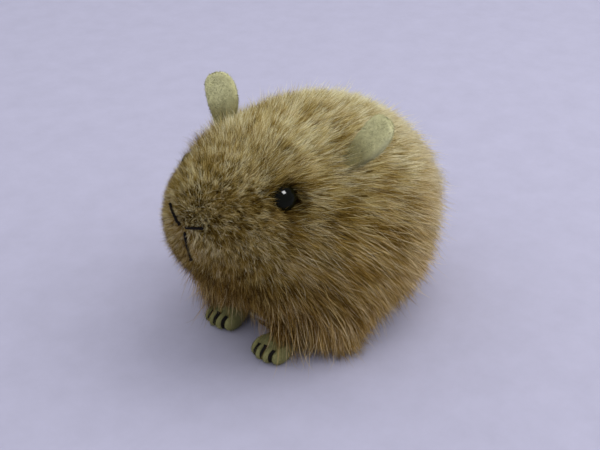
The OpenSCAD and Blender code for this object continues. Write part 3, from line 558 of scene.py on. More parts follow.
def shared(builder):
    """A tree that several operators use, built at its first use."""
    stored = bpy.data.node_groups.get(builder.__name__)
    if stored is None:
        stored = builder()
        stored.name = builder.__name__
    return stored


def run_tree(source, tree, name, values):
    """Runs a geometry tree on source with the named input values, and returns the plain result."""
    modifier = source.modifiers.new(tree.name, "NODES")
    modifier.node_group = tree
    for item in tree.interface.items_tree:
        if item.item_type == "SOCKET" and item.in_out == "INPUT" and item.name in values:
            modifier[item.identifier] = values[item.name]
    return as_plain_mesh(source, name)


def hair_tree():
    """Geometry tree that grows bent, tapered hairs from the fields on a mesh."""
    tree, bench, given = new_tree("Combed Hair", "Geometry", {
        "Geometry": None, "Width": 0.2 * MM, "Rings": 2, "Lock": 1.4 * MM, "Lock Clump": 0.5,
        "Tuft": 5.0 * MM, "Tuft Clump": 0.2, "Swirl": 0.4, "Frizz": 2.0, "Tone Spread": 0.6, "Seed": 1,
        "Material": None,
    }, {"Geometry": "Geometry"})
    position = bench.geometry("InputPosition")

    # One hair before it is bent: three sided, its tip one unit up.
    hair = bench.geometry("MeshCone", {
        "Vertices": 3, "Side Segments": given["Rings"], "Radius Bottom": 1.0, "Depth": 1.0,
    }, fill_type="NGON")
    hair = bench.store(hair, "strand", position)

    # Scattered roots, each with its own length, lift and tone.
    roots = bench.node("GeometryNodeDistributePointsOnFaces", {
        "Mesh": given["Geometry"], "Density": bench.field("fur_density"), "Seed": given["Seed"]}).outputs
    length = bench.math("MULTIPLY", bench.field("fur_length"), bench.random(*LENGTH_SPREAD, 3))
    lift = bench.math("ADD", bench.field("fur_lift"), bench.random(*LIFT_SPREAD, 4))
    patch = bench.math("MULTIPLY_ADD", bench.noise(position, PATCH_SCALE, 2.0)[0], *PATCH_TONE)
    lock = bench.split(bench.cells(position, given["Lock"])["Color"])[0]
    lock = bench.math("MULTIPLY", bench.math("SUBTRACT", lock, 0.5), given["Tone Spread"])
    tone = bench.math("ADD", bench.field("fur_tone"), bench.random(*TONE_SPREAD, 5))
    tone = bench.math("ADD", bench.math("ADD", tone, lock), patch, clamp=True)
    points = bench.store(roots["Points"], "root", position)
    points = bench.store(points, "up", roots["Normal"])
    points = bench.store(points, "growth", bench.joined(length, lift, tone))
    hairs = bench.geometry("InstanceOnPoints", {"Points": points, "Instance": hair})
    hairs = bench.geometry("RealizeInstances", {"Geometry": hairs})

    # Each hair starts out steeply, ends lower and more frizzled, and sags a little.
    root = bench.vector_field("root")
    up = bench.vector("NORMALIZE", bench.vector_field("up"))
    length, lift, tone = bench.split(bench.vector_field("growth"))[:3]
    across, over, along = bench.split(bench.vector_field("strand"))[:3]
    curl = bench.field("fur_curl")
    comb = bench.vector("NORMALIZE", bench.vector_field("fur_comb"))
    comb = bench.along(bench.total(comb, bench.gust(root, SWIRL_SCALE, given["Swirl"])), up)
    comb = bench.scaled(bench.vector("NORMALIZE", comb), bench.math("MULTIPLY_ADD", curl, *COMB_STRENGTH))
    grain = bench.math("MULTIPLY_ADD", curl, *FRIZZ_SCALE)
    frizz = bench.gust(root, grain, bench.math("MULTIPLY", curl, given["Frizz"]))
    first = bench.total(bench.scaled(up, bench.math("MULTIPLY", lift, ROOT_STEEP)), comb, frizz)
    first = bench.vector("NORMALIZE", first)
    last = bench.total(bench.scaled(up, bench.math("MULTIPLY", lift, TIP_STEEP)), comb)
    last = bench.total(last, bench.scaled(frizz, TIP_FRIZZ), TIP_SAG)
    last = bench.vector("NORMALIZE", last)
    half_square = bench.math("MULTIPLY", bench.math("MULTIPLY", along, along), 0.5)
    path = bench.weighed((first, bench.math("SUBTRACT", along, half_square)), (last, half_square))
    centre = bench.total(root, bench.scaled(path, length))

    # Tips gather towards the middle of their lock and of their tuft, along the skin.
    for size in ("Lock", "Tuft"):
        middle = bench.cells(root, given[size])["Position"]
        toward = bench.along(bench.vector("SUBTRACT", middle, root), up)
        gather = bench.math("MULTIPLY", bench.math("POWER", along, GATHER_POWER), given[f"{size} Clump"])
        centre = bench.total(centre, bench.scaled(toward, gather))

    # The cone narrows evenly, and its width is made up so that a hair stays full until near its tip.
    to_tip = bench.math("SUBTRACT", 1.0, along)
    heading = bench.weighed((first, to_tip), (last, along))
    side = bench.vector("NORMALIZE", bench.vector("CROSS_PRODUCT", up, heading))
    crest = bench.vector("NORMALIZE", bench.vector("CROSS_PRODUCT", heading, side))
    fullness = bench.math("POWER", bench.math("MAXIMUM", to_tip, TAPER_LEAST), TAPER_POWER)
    half_width = bench.math("MULTIPLY", bench.math("MULTIPLY", given["Width"], 0.5), fullness)
    rim = bench.weighed(
        (side, bench.math("MULTIPLY", across, half_width)),
        (crest, bench.math("MULTIPLY", over, half_width)))
    x, y, z = bench.split(bench.total(centre, rim))[:3]
    place = bench.joined(x, y, bench.math("MAXIMUM", z, FLOOR_CLEAR * MM))
    hairs = bench.geometry("SetPosition", {"Geometry": hairs, "Position": place})

    # The map holds tone across and root to tip upwards, so colour follows each hair.
    sliver = bench.math("MULTIPLY", bench.math("MULTIPLY_ADD", over, SIDE_SLANT, across), SIDE_ROOM)
    tone_at = bench.math("ADD", bench.math("MULTIPLY_ADD", tone, *TONE_ROOM), sliver)
    hairs = bench.store(hairs, "OFBake", bench.joined(tone_at, along, 0.0), "FLOAT2", "CORNER")
    hairs = bench.geometry("SetShadeSmooth", {"Geometry": hairs})
    close_tree(bench, hairs, given["Material"])
    return tree


def thread_tree():
    """Geometry tree that winds three plies of thread along the paths it is given."""
    tree, bench, given = new_tree("Twisted Thread", "Geometry", {
        "Geometry": None, "Ply Radius": 0.25 * MM, "Twist": 400.0, "Material": None,
    }, {"Geometry": "Geometry"})
    path = bench.geometry("MeshToCurve", {"Mesh": given["Geometry"]})
    path = bench.geometry("ResampleCurve", {"Curve": path, "Count": 48})
    walked = bench.node("GeometryNodeSplineParameter").outputs["Length"]
    turns = bench.math("MULTIPLY", bench.math("MULTIPLY", walked, given["Twist"]), 2 * math.pi)
    path = bench.geometry("SetCurveTilt", {"Curve": path, "Tilt": turns})
    ply = bench.geometry("CurvePrimitiveCircle", {"Resolution": 8, "Radius": given["Ply Radius"]})
    ring_radius = bench.math("MULTIPLY", given["Ply Radius"], 1.12)
    ring = bench.geometry("CurvePrimitiveCircle", {"Resolution": 3, "Radius": ring_radius})
    plies = bench.geometry("InstanceOnPoints", {"Points": ring, "Instance": ply})
    plies = bench.geometry("RealizeInstances", {"Geometry": plies})
    thread = bench.geometry("CurveToMesh", {"Curve": path, "Profile Curve": plies, "Fill Caps": True})
    close_tree(bench, thread, given["Material"])
    return tree


# Scales of the fibres' strands and blotches and of the handled streaks and smears, and their contrasts.
STRAND_SCALE = 420.0
BLOTCH_SCALE = 260.0
STREAK_SCALE = 300.0
SMEAR_SCALE = 110.0
STRAND_CONTRAST = (2.4, -0.95)
WEAR_CONTRAST = (2.2, -0.95)
STRAND_STRETCHES = ((9.0, 1.0, 3.0), (1.0, 8.0, 2.0), (2.0, 3.0, 9.0))
STRAND_TURN = (0.5, 0.7, 0.4)


def fibre_group():
    """Shader group of matted fibres: fine crossing strands and broad blotches."""
    tree, bench, given = new_tree("Fibre", "Shader", {"Scale": 1.0}, {"Shade": "Float", "Height": "Float"})
    place = bench.place()
    strands = []
    for stretch in STRAND_STRETCHES:
        turned = bench.node("ShaderNodeMapping", {
            "Vector": place, "Rotation": STRAND_TURN, "Scale": stretch}).outputs[0]
        scale = bench.math("MULTIPLY", given["Scale"], STRAND_SCALE)
        strands.append(bench.noise(turned, scale, 3.0, Roughness=0.6)[0])
    fine = bench.math("MAXIMUM", bench.math("MAXIMUM", strands[0], strands[1]), strands[2])
    fine = bench.math("MULTIPLY_ADD", fine, *STRAND_CONTRAST, clamp=True)
    broad = bench.noise(place, bench.math("MULTIPLY", given["Scale"], BLOTCH_SCALE), 4.0)[0]
    broad = bench.math("SUBTRACT", broad, 0.5)
    shade = bench.math("ADD", bench.math("MULTIPLY_ADD", fine, 0.6, 0.2), broad, clamp=True)
    bench.node("NodeGroupOutput", {"Shade": shade, "Height": fine})
    return tree


def handled_group():
    """Shader group of handled surfaces: drawn streaks and faint smears."""
    tree, bench, given = new_tree(
        "Handled", "Shader", {"Scale": 1.0, "Streak": 1.0}, {"Wear": "Float", "Height": "Float"})
    place = bench.place()
    drawn = bench.vector("MULTIPLY", place, bench.joined(1.0, given["Streak"], given["Streak"]))
    drawn = bench.noise(drawn, bench.math("MULTIPLY", given["Scale"], STREAK_SCALE), 5.0, Roughness=0.65)[0]
    smear = bench.noise(place, bench.math("MULTIPLY", given["Scale"], SMEAR_SCALE), 3.0, Distortion=0.8)[0]
    wear = bench.math("ADD", bench.math("MULTIPLY", drawn, 0.6), bench.math("MULTIPLY", smear, 0.7))
    wear = bench.math("MULTIPLY_ADD", wear, *WEAR_CONTRAST, clamp=True)
    bench.node("NodeGroupOutput", {"Wear": wear, "Height": drawn})
    return tree


def shaded(colour, factor=1.0):
    """A colour darkened or lightened, with its alpha."""
    return tuple(min(1.0, channel * factor) for channel in colour) + (1.0,)


def look_colour(name):
    """A colour of the finish settings."""
    return getattr(bpy.context.scene.mouse_finish, name)


def new_material(name):
    """A node material and a bench to build it on."""
    material = bpy.data.materials.new(f"{name}_finish")
    material.use_nodes = True
    return material, NodeBench(material.node_tree)


def warmth(bench, colour, low_tint, high_tint):
    """A colour tinted from low_tint near the floor to high_tint higher up, in uneven patches."""
    place = bench.place()
    height = bench.math("MULTIPLY_ADD", bench.split(place)[2], 22.0, -0.72)
    share = bench.math("ADD", bench.noise(place, 110.0, 3.0)[0], height, clamp=True)
    return bench.mix(1.0, colour, bench.mix(share, shaded(low_tint), shaded(high_tint)), "MULTIPLY")


def hair_finish(name, stops, root_stops, tints=None):
    """Hair coloured by its tone and by the way from its root to its tip."""
    material, bench = new_material(name)
    where = bench.split(bench.node("ShaderNodeUVMap", uv_map="OFBake").outputs[0])
    colour = bench.mix(1.0, bench.ramp(where[0], stops), bench.ramp(where[1], root_stops), "MULTIPLY")
    if tints:
        colour = warmth(bench, colour, *tints)
    bench.surface(Base_Color=colour, Roughness=0.7, Specular_IOR_Level=0.03)
    return material


def fur_finish(name):
    """Agouti fur: dark roots, and tips from umber to cream."""
    coat = bpy.context.scene.mouse_coat
    stops = ((0.0, coat.shade), (0.22, coat.umber), (0.48, coat.brown), (0.74, coat.tan), (1.0, coat.cream))
    roots = (
        (0.0, (0.28, 0.22, 0.17)), (0.3, (0.60, 0.52, 0.45)), (0.65, (1.0, 0.96, 0.90)),
        (1.0, (1.0, 1.0, 1.0)))
    return hair_finish(name, stops, roots, (coat.warm, coat.cool))


def fuzz_finish(name, colour):
    """Loose fibres of a felt."""
    shades = ((0.0, 0.45), (0.25, 0.8), (0.5, 1.0), (1.0, 1.4))
    stops = [(place, shaded(look_colour(colour), factor)) for place, factor in shades]
    return hair_finish(name, stops, ((0.0, (0.7, 0.7, 0.7)), (1.0, (1.0, 1.0, 1.0))))


def backing_finish(name):
    """Knitted backing that the hairs grow from."""
    coat = bpy.context.scene.mouse_coat
    material, bench = new_material(name)
    fibre = bench.node("ShaderNodeGroup", {"Scale": 1.3}, node_tree=shared(fibre_group))
    colour = bench.mix(fibre.outputs["Shade"], shaded(coat.shade, 0.9), shaded(coat.umber, 0.8))
    bench.surface(Base_Color=colour, Roughness=0.95, Specular_IOR_Level=0.1)
    return material


def fibre_finish(name, colour, scale, depth, roughness, specular, shade_attribute=None):
    """Felt or thread: fibres in the colour and in the relief, darker with painted shade where the named
    attribute is high.
    """
    colour = look_colour(colour)
    material, bench = new_material(name)
    fibre = bench.node("ShaderNodeGroup", {"Scale": scale}, node_tree=shared(fibre_group)).outputs
    tint = bench.mix(fibre["Shade"], shaded(colour, 0.70), shaded(colour, 1.30))
    # Painted shade: the tint is drawn towards the root shade colour where the attribute is high.
    if shade_attribute:
        shade_share = bench.node("ShaderNodeAttribute", attribute_name=shade_attribute).outputs["Fac"]
        hold = bench.math("MULTIPLY_ADD", fibre["Shade"], -0.5, 1.15)
        tint = bench.mix(bench.math("MULTIPLY", shade_share, hold, clamp=True), tint, shaded(look_colour("grime")))
    bench.surface(
        Base_Color=tint, Normal=bench.bump(fibre["Height"], 0.6, depth), Roughness=roughness,
        Specular_IOR_Level=specular)
    return material


def handled_finish(name, colour, scale, depth, streak, roughness, spread, constants):
    """Metal, paint, plastic or rubber: streaks and smears in colour, gloss and relief."""
    colour = look_colour(colour)
    material, bench = new_material(name)
    inputs = {"Scale": scale, "Streak": streak}
    wear = bench.node("ShaderNodeGroup", inputs, node_tree=shared(handled_group)).outputs
    bench.surface(
        Base_Color=bench.mix(wear["Wear"], shaded(colour, 0.72), shaded(colour, 1.12)),
        Roughness=bench.math("MULTIPLY_ADD", wear["Wear"], spread, roughness - spread / 2),
        Normal=bench.bump(wear["Height"], 0.25, depth), **constants)
    return material


# Each finish's maker, colour, scale and depth of the relief. Then fibres have roughness, specular level and
# the attribute of their painted shade; handled ones have streak, roughness, its spread and values of the
# shader.
PLAIN = {}
METAL = {"Metallic": 1.0}
FINISHES = {
    "fur": (fur_finish,),
    "backing": (backing_finish,),
    "fuzz": (fuzz_finish, "felt"),
    # The paws' fuzz and felt take the paw colour, darkened partly as painted shade.
    "paw_fuzz": (fuzz_finish, "paw"),
    "felt": (fibre_finish, "felt", 1.9, 0.2, 0.95, 0.05, "ear_root"),
    "paw_felt": (fibre_finish, "paw", 1.9, 0.2, 0.95, 0.05),
    "thread": (fibre_finish, "thread", 2.5, 0.05, 0.8, 0.12),
    "eye_bead": (handled_finish, "bead", 1.5, 0.001, 1.0, 0.05, 0.03, {"Specular_IOR_Level": 0.1}),
    "shell_plastic": (handled_finish, "shell", 1.0, 0.02, 1.0, 0.55, 0.15, PLAIN),
    "washer_plastic": (handled_finish, "washer", 1.0, 0.02, 1.0, 0.5, 0.15, PLAIN),
    "rubber": (handled_finish, "rubber", 1.6, 0.05, 1.0, 0.78, 0.2, PLAIN),
    "wheel_paint": (
        handled_finish, "enamel", 1.0, 0.01, 1.0, 0.3, 0.16, {"Coat_Weight": 0.35, "Coat_Roughness": 0.12}),
    "tinplate": (handled_finish, "tin", 0.8, 0.01, 7.0, 0.34, 0.16, METAL),
    "motor_plate": (handled_finish, "wash", 0.8, 0.01, 6.0, 0.38, 0.16, METAL),
    "screw_steel": (handled_finish, "steel", 1.4, 0.01, 1.0, 0.36, 0.2, METAL),
    "shaft_steel": (handled_finish, "steel", 1.2, 0.01, 5.0, 0.26, 0.14, METAL),
    "spring_steel": (handled_finish, "blued", 1.0, 0.01, 5.0, 0.3, 0.16, METAL),
    "brass": (handled_finish, "brass", 1.0, 0.01, 4.0, 0.3, 0.18, METAL),
    "key_plating": (handled_finish, "nickel", 1.0, 0.012, 3.0, 0.27, 0.18, METAL),
}


def finish_of(name):
    """A finish by its name, which is its slot's for most, made at its first use."""
    material = bpy.data.materials.get(f"{name}_finish")
    if material is None:
        maker, *values = FINISHES[name]
        material = maker(name, *values)
    return material


def neighbours(values):
    """A net of values moved by one place: round the body both ways, then down and up the rows."""
    return (np.roll(values, 1, 1), np.roll(values, -1, 1),
            np.vstack([values[:1], values[:-1]]), np.vstack([values[1:], values[-1:]]))


def softened(values, passes):
    """A net of values evened out, round the body and along the rows."""
    for _ in range(passes):
        before, after = neighbours(values)[:2]
        values = (before + 2 * values + after) / 4
        above, below = neighbours(values)[2:]
        values = (above + 2 * values + below) / 4
    return values


def without_holes(values):
    """A net of values with the missing ones, over the eye and key holes, filled from those beside them."""
    while np.isnan(values).any():
        beside = neighbours(values)
        known = np.sum([~np.isnan(part) for part in beside], 0)
        total = np.sum([np.nan_to_num(part) for part in beside], 0)
        fill = np.where(known > 0, total / np.maximum(known, 1), np.nan)
        values = np.where(np.isnan(values), fill, values)
    return values


def pelt_net():
    """The pelt's outer surface as rows of points and normals, crown first and hem last."""
    pelt = ray_tree(frame["nodes"]["pelt"].data)
    turns = turns_round(SKIN_COLUMNS)
    round_about = np.stack([np.cos(turns), np.sin(turns), np.zeros(SKIN_COLUMNS)], -1)

    def outer(origin, direction):
        start = Vector(origin + direction * RAY_START)
        place = pelt.ray_cast(start, Vector(-direction))[0]
        return None if place is None else np.array(place)

    def at_height(height, direction):
        return outer(np.array([0.0, MID_Y, height]), direction)

    def hem_height(direction):
        low, high = HEM_RANGE
        for _ in range(HEM_TRIES):
            middle = (low + high) / 2
            place = at_height(middle, direction)
            reached = place is not None and (place[:2] - CORE[:2]) @ direction[:2] > NEAREST_HEM
            low, high = (low, middle) if reached else (middle, high)
        return high + HEM_MARGIN

    ways = np.empty((SKIN_ROWS, SKIN_COLUMNS, 3))
    reach = np.full((SKIN_ROWS, SKIN_COLUMNS), np.nan)
    for column, direction in enumerate(round_about):
        hem = at_height(hem_height(direction), direction) - CORE
        lowest = math.atan2(hem[2], hem[:2] @ direction[:2])
        for row in range(SKIN_ROWS):
            lift = mixed(math.pi / 2, lowest, (row + 0.5) / (SKIN_ROWS - 0.5))
            way = direction * math.cos(lift) + UP * math.sin(lift)
            place = outer(CORE, way)
            ways[row, column] = way
            if place is not None and (place - CORE) @ way > NEAREST_SKIN:
                reach[row, column] = (place - CORE) @ way
        reach[-1, column] = np.linalg.norm(hem)
    points = CORE + ways * softened(without_holes(reach), SKIN_PASSES)[..., None]
    along = np.gradient(points, axis=0)
    around = np.roll(points, -1, 1) - np.roll(points, 1, 1)
    return points.reshape(-1, 3), unit(np.cross(along, around)).reshape(-1, 3)


def net_faces(rows, columns, closed=True):
    """Faces of a net of points, which closes on itself along its rows or has two edges."""
    faces = []
    for row in range(rows - 1):
        here, there = row * columns, (row + 1) * columns
        for column in range(columns if closed else columns - 1):
            beside = (column + 1) % columns
            faces.append((here + column, there + column, there + beside, here + beside))
    return faces


def centre_line(points, count=9):
    """Points along the middle of a long thin solid, ordered along its length."""
    middle = points.mean(0)
    along = np.linalg.svd(points - middle, full_matrices=False)[2][0]
    walked = (points - middle) @ along
    places = np.linspace(walked.min(), walked.max(), count)
    reach = (places[1] - places[0]) * 0.75
    return np.array([points[np.abs(walked - place) < reach].mean(0) for place in places])


def sewn_lines():
    """Centre lines of the mouth stitch and of both nose stitches, whose outer ends are drawn up the pelt."""
    pelt = ray_tree(frame["nodes"]["pelt"].data)
    nose = node_points("nose_stitches")
    lines = [centre_line(node_points("mouth_stitch"))]
    for _, sign in SIDES:
        line = centre_line(nose[(nose[:, 1] - MID_Y) * sign > 0])
        outward = np.abs(line[:, 1] - MID_Y)
        height = bpy.context.scene.mouse_face.nose_rise / MM * (outward - outward.min()) / np.ptp(outward)
        normals = np.array([pelt.find_nearest(Vector(point))[1] for point in line])
        lines.append(line + (UP - normals * normals[:, 2:]) * height[:, None])
    return lines


def bead_place(side):
    """Centre and radius of an eye bead."""
    low, high = node_box(f"eye_{side}")
    radius = (high[0] - low[0]) / 2
    middle_y = high[1] - radius if side == "left" else low[1] + radius
    return np.array([(low[0] + high[0]) / 2, middle_y, high[2] - radius]), radius


def ear_axes(side):
    """Root of an ear, its ways to the tip, across and forward, its length and its width."""
    points = node_points(f"ear_{side}")
    middle = points.mean(0)
    long_way, wide_way, _ = np.linalg.svd(points - middle, full_matrices=False)[2]
    if (middle - CORE) @ long_way < 0:
        long_way = -long_way
    front = np.cross(long_way, wide_way)
    if front[0] < 0:
        front = -front
    wide_way = np.cross(front, long_way)
    along = (points - middle) @ long_way
    across = (points - middle) @ wide_way
    return middle + long_way * along.min(), long_way, wide_way, front, np.ptp(along), np.ptp(across)


def coat_zones(points, normals, reach):
    """How far each point of the pelt lies in each zone of the coat, with its reach from the nose."""
    x, y, z = points[:, 0], np.abs(points[:, 1] - MID_Y), points[:, 2]
    face = rise(40, 15, reach)
    top = rise(0.35, 0.95, normals[:, 2])
    low = rise(26, 5, z)
    rear = rise(-8, -32, x)
    behind = rise(5, -25, x)
    return {
        "face": face,
        "muzzle": rise(14, 2, reach),
        "jaw": face * rise(34, 22, z),
        "throat": rise(20, 30, x) * rise(32, 16, z),
        "chest": rise(6, 17, x) * rise(26, 12, z),
        "elbow": rise(7, 13, x) * rise(10, 14, y) * rise(19, 9, z),
        "top": top,
        "back": top * (1 - face),
        "high": rise(20, 45, z) * (1 - face),
        "waist": rise(30, 37, z) * rise(50, 42, z) * rise(-12, 0, x) * (1 - face),
        "skirt": rise(36, 24, z) * rise(22, 12, x),
        "low": low,
        "low_behind": low * behind,
        "tuck": rise(-30, -18, x) * rise(10, 1, x) * rise(16, 4, z),
        "behind": behind,
        "rear": rear,
        "rear_side": rear * rise(8, 18, z),
    }


def coat_fields(points, normals):
    """Hair fields at each point of the pelt, the depth of the roots and the density of stray hairs."""
    coat = bpy.context.scene.mouse_coat
    from_nose = points - node_points("nose_stitches").mean(0)
    zones = coat_zones(points, normals, np.linalg.norm(from_nose, axis=1))
    face, chest, elbow = zones["face"], zones["chest"], zones["elbow"]

    def field(name, shifts, share=face):
        return mixed(*BODY_FACE[name], share) + sum(shift * zones[zone] for zone, shift in shifts.items())

    length = mixed(coat.body_length / MM, coat.face_length / MM, face) * (1 - BACK_SHORTER * zones["back"])
    length = mixed(mixed(length, CHEST_LENGTH, chest), ELBOW_LENGTH, elbow)
    length = length * (1 - TUCK_SHORTER * zones["tuck"])
    lift = field("lift", LIFT_SHIFTS)
    depth = np.minimum(field("depth", DEPTH_SHIFTS), PELT_INNER - BACKING_LEAST)
    # The tone carries painted light and shade from the zones, and painted shadow round the eyes below.
    tone = field("tone", TONE_AND_PAINTED_LIGHT_SHIFTS)
    curl = field("curl", {}, face * (1 - chest))
    density = mixed(coat.body_density, coat.face_density, face)
    fall = np.maximum(field("fall", {"low": LOW_FALL}), FRONT_FALL * np.maximum(chest, elbow))
    comb = unit(from_nose) * (1 - fall)[:, None] - UP * fall[:, None]

    # Round the eyes hair stands off the bead, long above it and darkened near it as painted shadow; at the
    # ears it stands up.
    for side, sign in SIDES:
        centre, radius = bead_place(side)
        way = unit(points - centre)
        gap = np.linalg.norm(points - centre, axis=1) - radius
        near = rise(*EYE_RING, gap)
        above = rise(0.1, 0.7, way @ np.array([0.0, -0.6 * sign, 0.8]))
        at_ear = rise(*EAR_RING, np.linalg.norm(points - ear_axes(side)[0], axis=1))
        density = density * (gap > 0.0)
        lift = lift + 0.15 * near + 0.2 * at_ear
        length = length * (1 + 0.4 * above * rise(*EYE_BROW, gap)) * (1 + 0.2 * at_ear)
        tone = tone - 0.24 * rise(*EYE_PAINTED_SHADOW, gap)
        comb = comb + way * (near * 0.8)[:, None]

    for line in sewn_lines():
        gap = np.linalg.norm(points[:, None] - line[None], axis=2).min(1)
        length = length * mixed(STITCH_LENGTH, 1.0, rise(*STITCH_RING, gap))

    low, high = node_box("key_eyelet")
    hole = (low + high) / 2
    hole_radius = (high[0] - low[0]) / 2
    sweep = np.ptp(node_box("winding_key"), 0).max() / 2
    from_hole = np.hypot(points[:, 0] - hole[0], points[:, 2] - hole[2])
    from_hole = np.where(points[:, 1] < MID_Y, from_hole, np.inf)
    under_key = rise(sweep + KEY_MARGIN, sweep, from_hole)
    density = density * (from_hole > hole_radius + EYELET_MARGIN)
    length = mixed(length, np.minimum(length, KEY_LENGTH), under_key)
    lift = mixed(lift, KEY_LIFT, under_key)

    comb = unit(comb - normals * (comb * normals).sum(1, keepdims=True))
    stray = coat.stray_density * (1 - under_key) * (density > 0) * field("stray", {})
    return {
        "fur_comb": comb, "fur_length": length * MM, "fur_lift": lift, "fur_curl": curl, "fur_tone": tone,
        "fur_density": density / MM ** 2}, depth, stray / MM ** 2


def set_fields(mesh, fields):
    """Stores fields on a mesh's points."""
    for name, values in fields.items():
        vector = np.ndim(values) == 2
        stored = mesh.attributes.new(name, "FLOAT_VECTOR" if vector else "FLOAT", "POINT")
        stored.data.foreach_set("vector" if vector else "value", np.ravel(values))


def grow(name, points, faces, fields, material, sizes):
    """A piece of hair grown from a patch of skin."""
    used, renumbered = np.unique(np.array(faces), return_inverse=True)
    patch = new_object(name + ".skin", points[used], renumbered.reshape(np.shape(faces)).tolist())
    set_fields(patch.data, {key: values[used] for key, values in fields.items()})
    piece = run_tree(patch, shared(hair_tree), name, {"Material": material, **sizes})
    for field in WORKING_FIELDS:
        stored = piece.data.attributes.get(field)
        if stored is not None:
            piece.data.attributes.remove(stored)
    if not piece.data.polygons:
        raise RuntimeError(f"no hair grew on {name}")
    return piece


def make_backing(points, normals, depth):
    """The knitted backing under the fur, closed along the hem; returns its outer points and faces."""
    columns = SKIN_COLUMNS
    count = len(points)
    outer = points - normals * depth[:, None]
    inner = points - normals * np.maximum(PELT_INNER, depth + BACKING_LEAST)[:, None]
    faces = net_faces(SKIN_ROWS, columns)
    inside = [tuple(index + count for index in reversed(face)) for face in faces]
    last = count - columns
    for column in range(columns):
        beside = (column + 1) % columns
        inside.append((last + column, last + column + count, last + beside + count, last + beside))
    crown = [tuple(range(columns)), tuple(count + column for column in reversed(range(columns)))]
    backing = new_object("pelt_backing", np.vstack([outer, inner]), faces + inside + crown)
    set_material(backing, finish_of("backing"))
    seat(backing, "fur", "pelt")
    return outer, np.array(faces)


class MOUSE_OT_coat(bpy.types.Operator):
    """Lays the backing over the pelt and grows the fur from it"""

    bl_idname = "mouse.coat"
    bl_label = "Grow the coat"

    def execute(self, context):
        coat = context.scene.mouse_coat
        points, normals = pelt_net()
        fields, depth, stray = coat_fields(points, normals)
        skin, faces = make_backing(points, normals, depth)
        middle = skin[faces].mean(1)
        fur = finish_of("fur")
        for number, (band, front, back, short) in enumerate(COAT_BANDS):
            within = (middle[:, 0] <= front) & (middle[:, 0] > back)
            for side, sign in SIDES:
                chosen = faces[within & ((middle[:, 1] - MID_Y) * sign > 0)]
                piece = grow(f"fur_{band}_{side}", skin, chosen, fields, fur, {
                    **(FACE_HAIR if short else BODY_HAIR),
                    "Width": coat.face_width if short else coat.body_width,
                    "Lock Clump": coat.clump * (FACE_CLUMP if short else 1.0),
                    "Seed": coat.seed + 2 * number + (sign > 0)})
                seat(piece, "fur")
        loose = {
            **fields,
            "fur_density": stray,
            "fur_length": fields["fur_length"] * coat.stray_length,
            "fur_lift": fields["fur_lift"] + 0.2,
            "fur_curl": fields["fur_curl"] * 0.6 + 0.4,
            "fur_tone": fields["fur_tone"] + 0.3,
        }
        piece = grow("fur_stray_hairs", skin, faces, loose, fur, {
            **STRAY_HAIR, "Width": coat.face_width, "Seed": coat.seed + STRAY_SEED})
        seat(piece, "fur")
        return {"FINISHED"}


def turned_bead(side):
    """Points and faces of a bead eye, turned round the line of its shank from the bead's front."""
    centre, radius = bead_place(side)
    solid = node_points(f"eye_{side}") - centre
    inward = unit(solid[np.argmax(np.linalg.norm(solid, axis=1))])
    depth = (solid @ inward).max()
    facing = Vector(inward).to_track_quat("Z", "Y").to_matrix()

    def turned(across, along, turn):
        spot = Vector((across * math.cos(turn), across * math.sin(turn), along))
        return centre + np.array(facing @ spot)

    outline = [(radius * math.sin(angle), -radius * math.cos(angle))
               for angle in np.linspace(0, BEAD_SWEEP, BEAD_RINGS)]
    shank = outline[-1][0] * 0.9
    outline += [(shank, outline[-1][1] + 0.2), (shank, depth - 0.3), (shank - 0.3, depth)]
    rings = [[turned(*spot, turn) for turn in turns_round(BEAD_SIDES)] for spot in outline[1:]]
    points = np.vstack([[turned(0.0, -radius, 0.0)]] + rings)
    faces = [(0, 1 + (k + 1) % BEAD_SIDES, 1 + k) for k in range(BEAD_SIDES)]
    for face in net_faces(len(rings), BEAD_SIDES):
        faces.append(tuple(1 + face[k] for k in (0, 3, 2, 1)))
    faces.append(tuple(range(len(points) - BEAD_SIDES, len(points))))
    return points, faces


class MOUSE_OT_eyes(bpy.types.Operator):
    """Turns the two bead eyes, each with its shank"""

    bl_idname = "mouse.eyes"
    bl_label = "Set the eyes"

    def execute(self, context):
        for side, _ in SIDES:
            bead = new_object(f"bead_{side}", *turned_bead(side))
            set_material(bead, finish_of("eye_bead"))
            shared_group("polished").objects.link(bead)
            seat(bead, "eye_bead", f"eye_{side}")
        return {"FINISHED"}


def sew(name, lines, ply_radius, twist):
    """A piece of twisted thread along the given lines."""
    points, edges = [], []
    for line in lines:
        start = len(points)
        points.extend(line)
        edges.extend((index, index + 1) for index in range(start, len(points) - 1))
    path = new_object(name + ".path", points, [], edges)
    return run_tree(path, shared(thread_tree), name, {
        "Ply Radius": ply_radius, "Twist": twist / MM, "Material": finish_of("thread")})


class MOUSE_OT_nose(bpy.types.Operator):
    """Sews the nose and the mouth with black thread"""

    bl_idname = "mouse.nose"
    bl_label = "Sew the nose"

    def execute(self, context):
        face = context.scene.mouse_face
        mouth, *nose = [line - unit(line - CORE) * face.thread_sink / MM for line in sewn_lines()]
        for name, node, lines in (
                ("nose_thread", "nose_stitches", nose), ("mouth_thread", "mouth_stitch", [mouth])):
            seat(sew(name, lines, face.ply_radius, face.thread_twist), "thread", node)
        return {"FINISHED"}


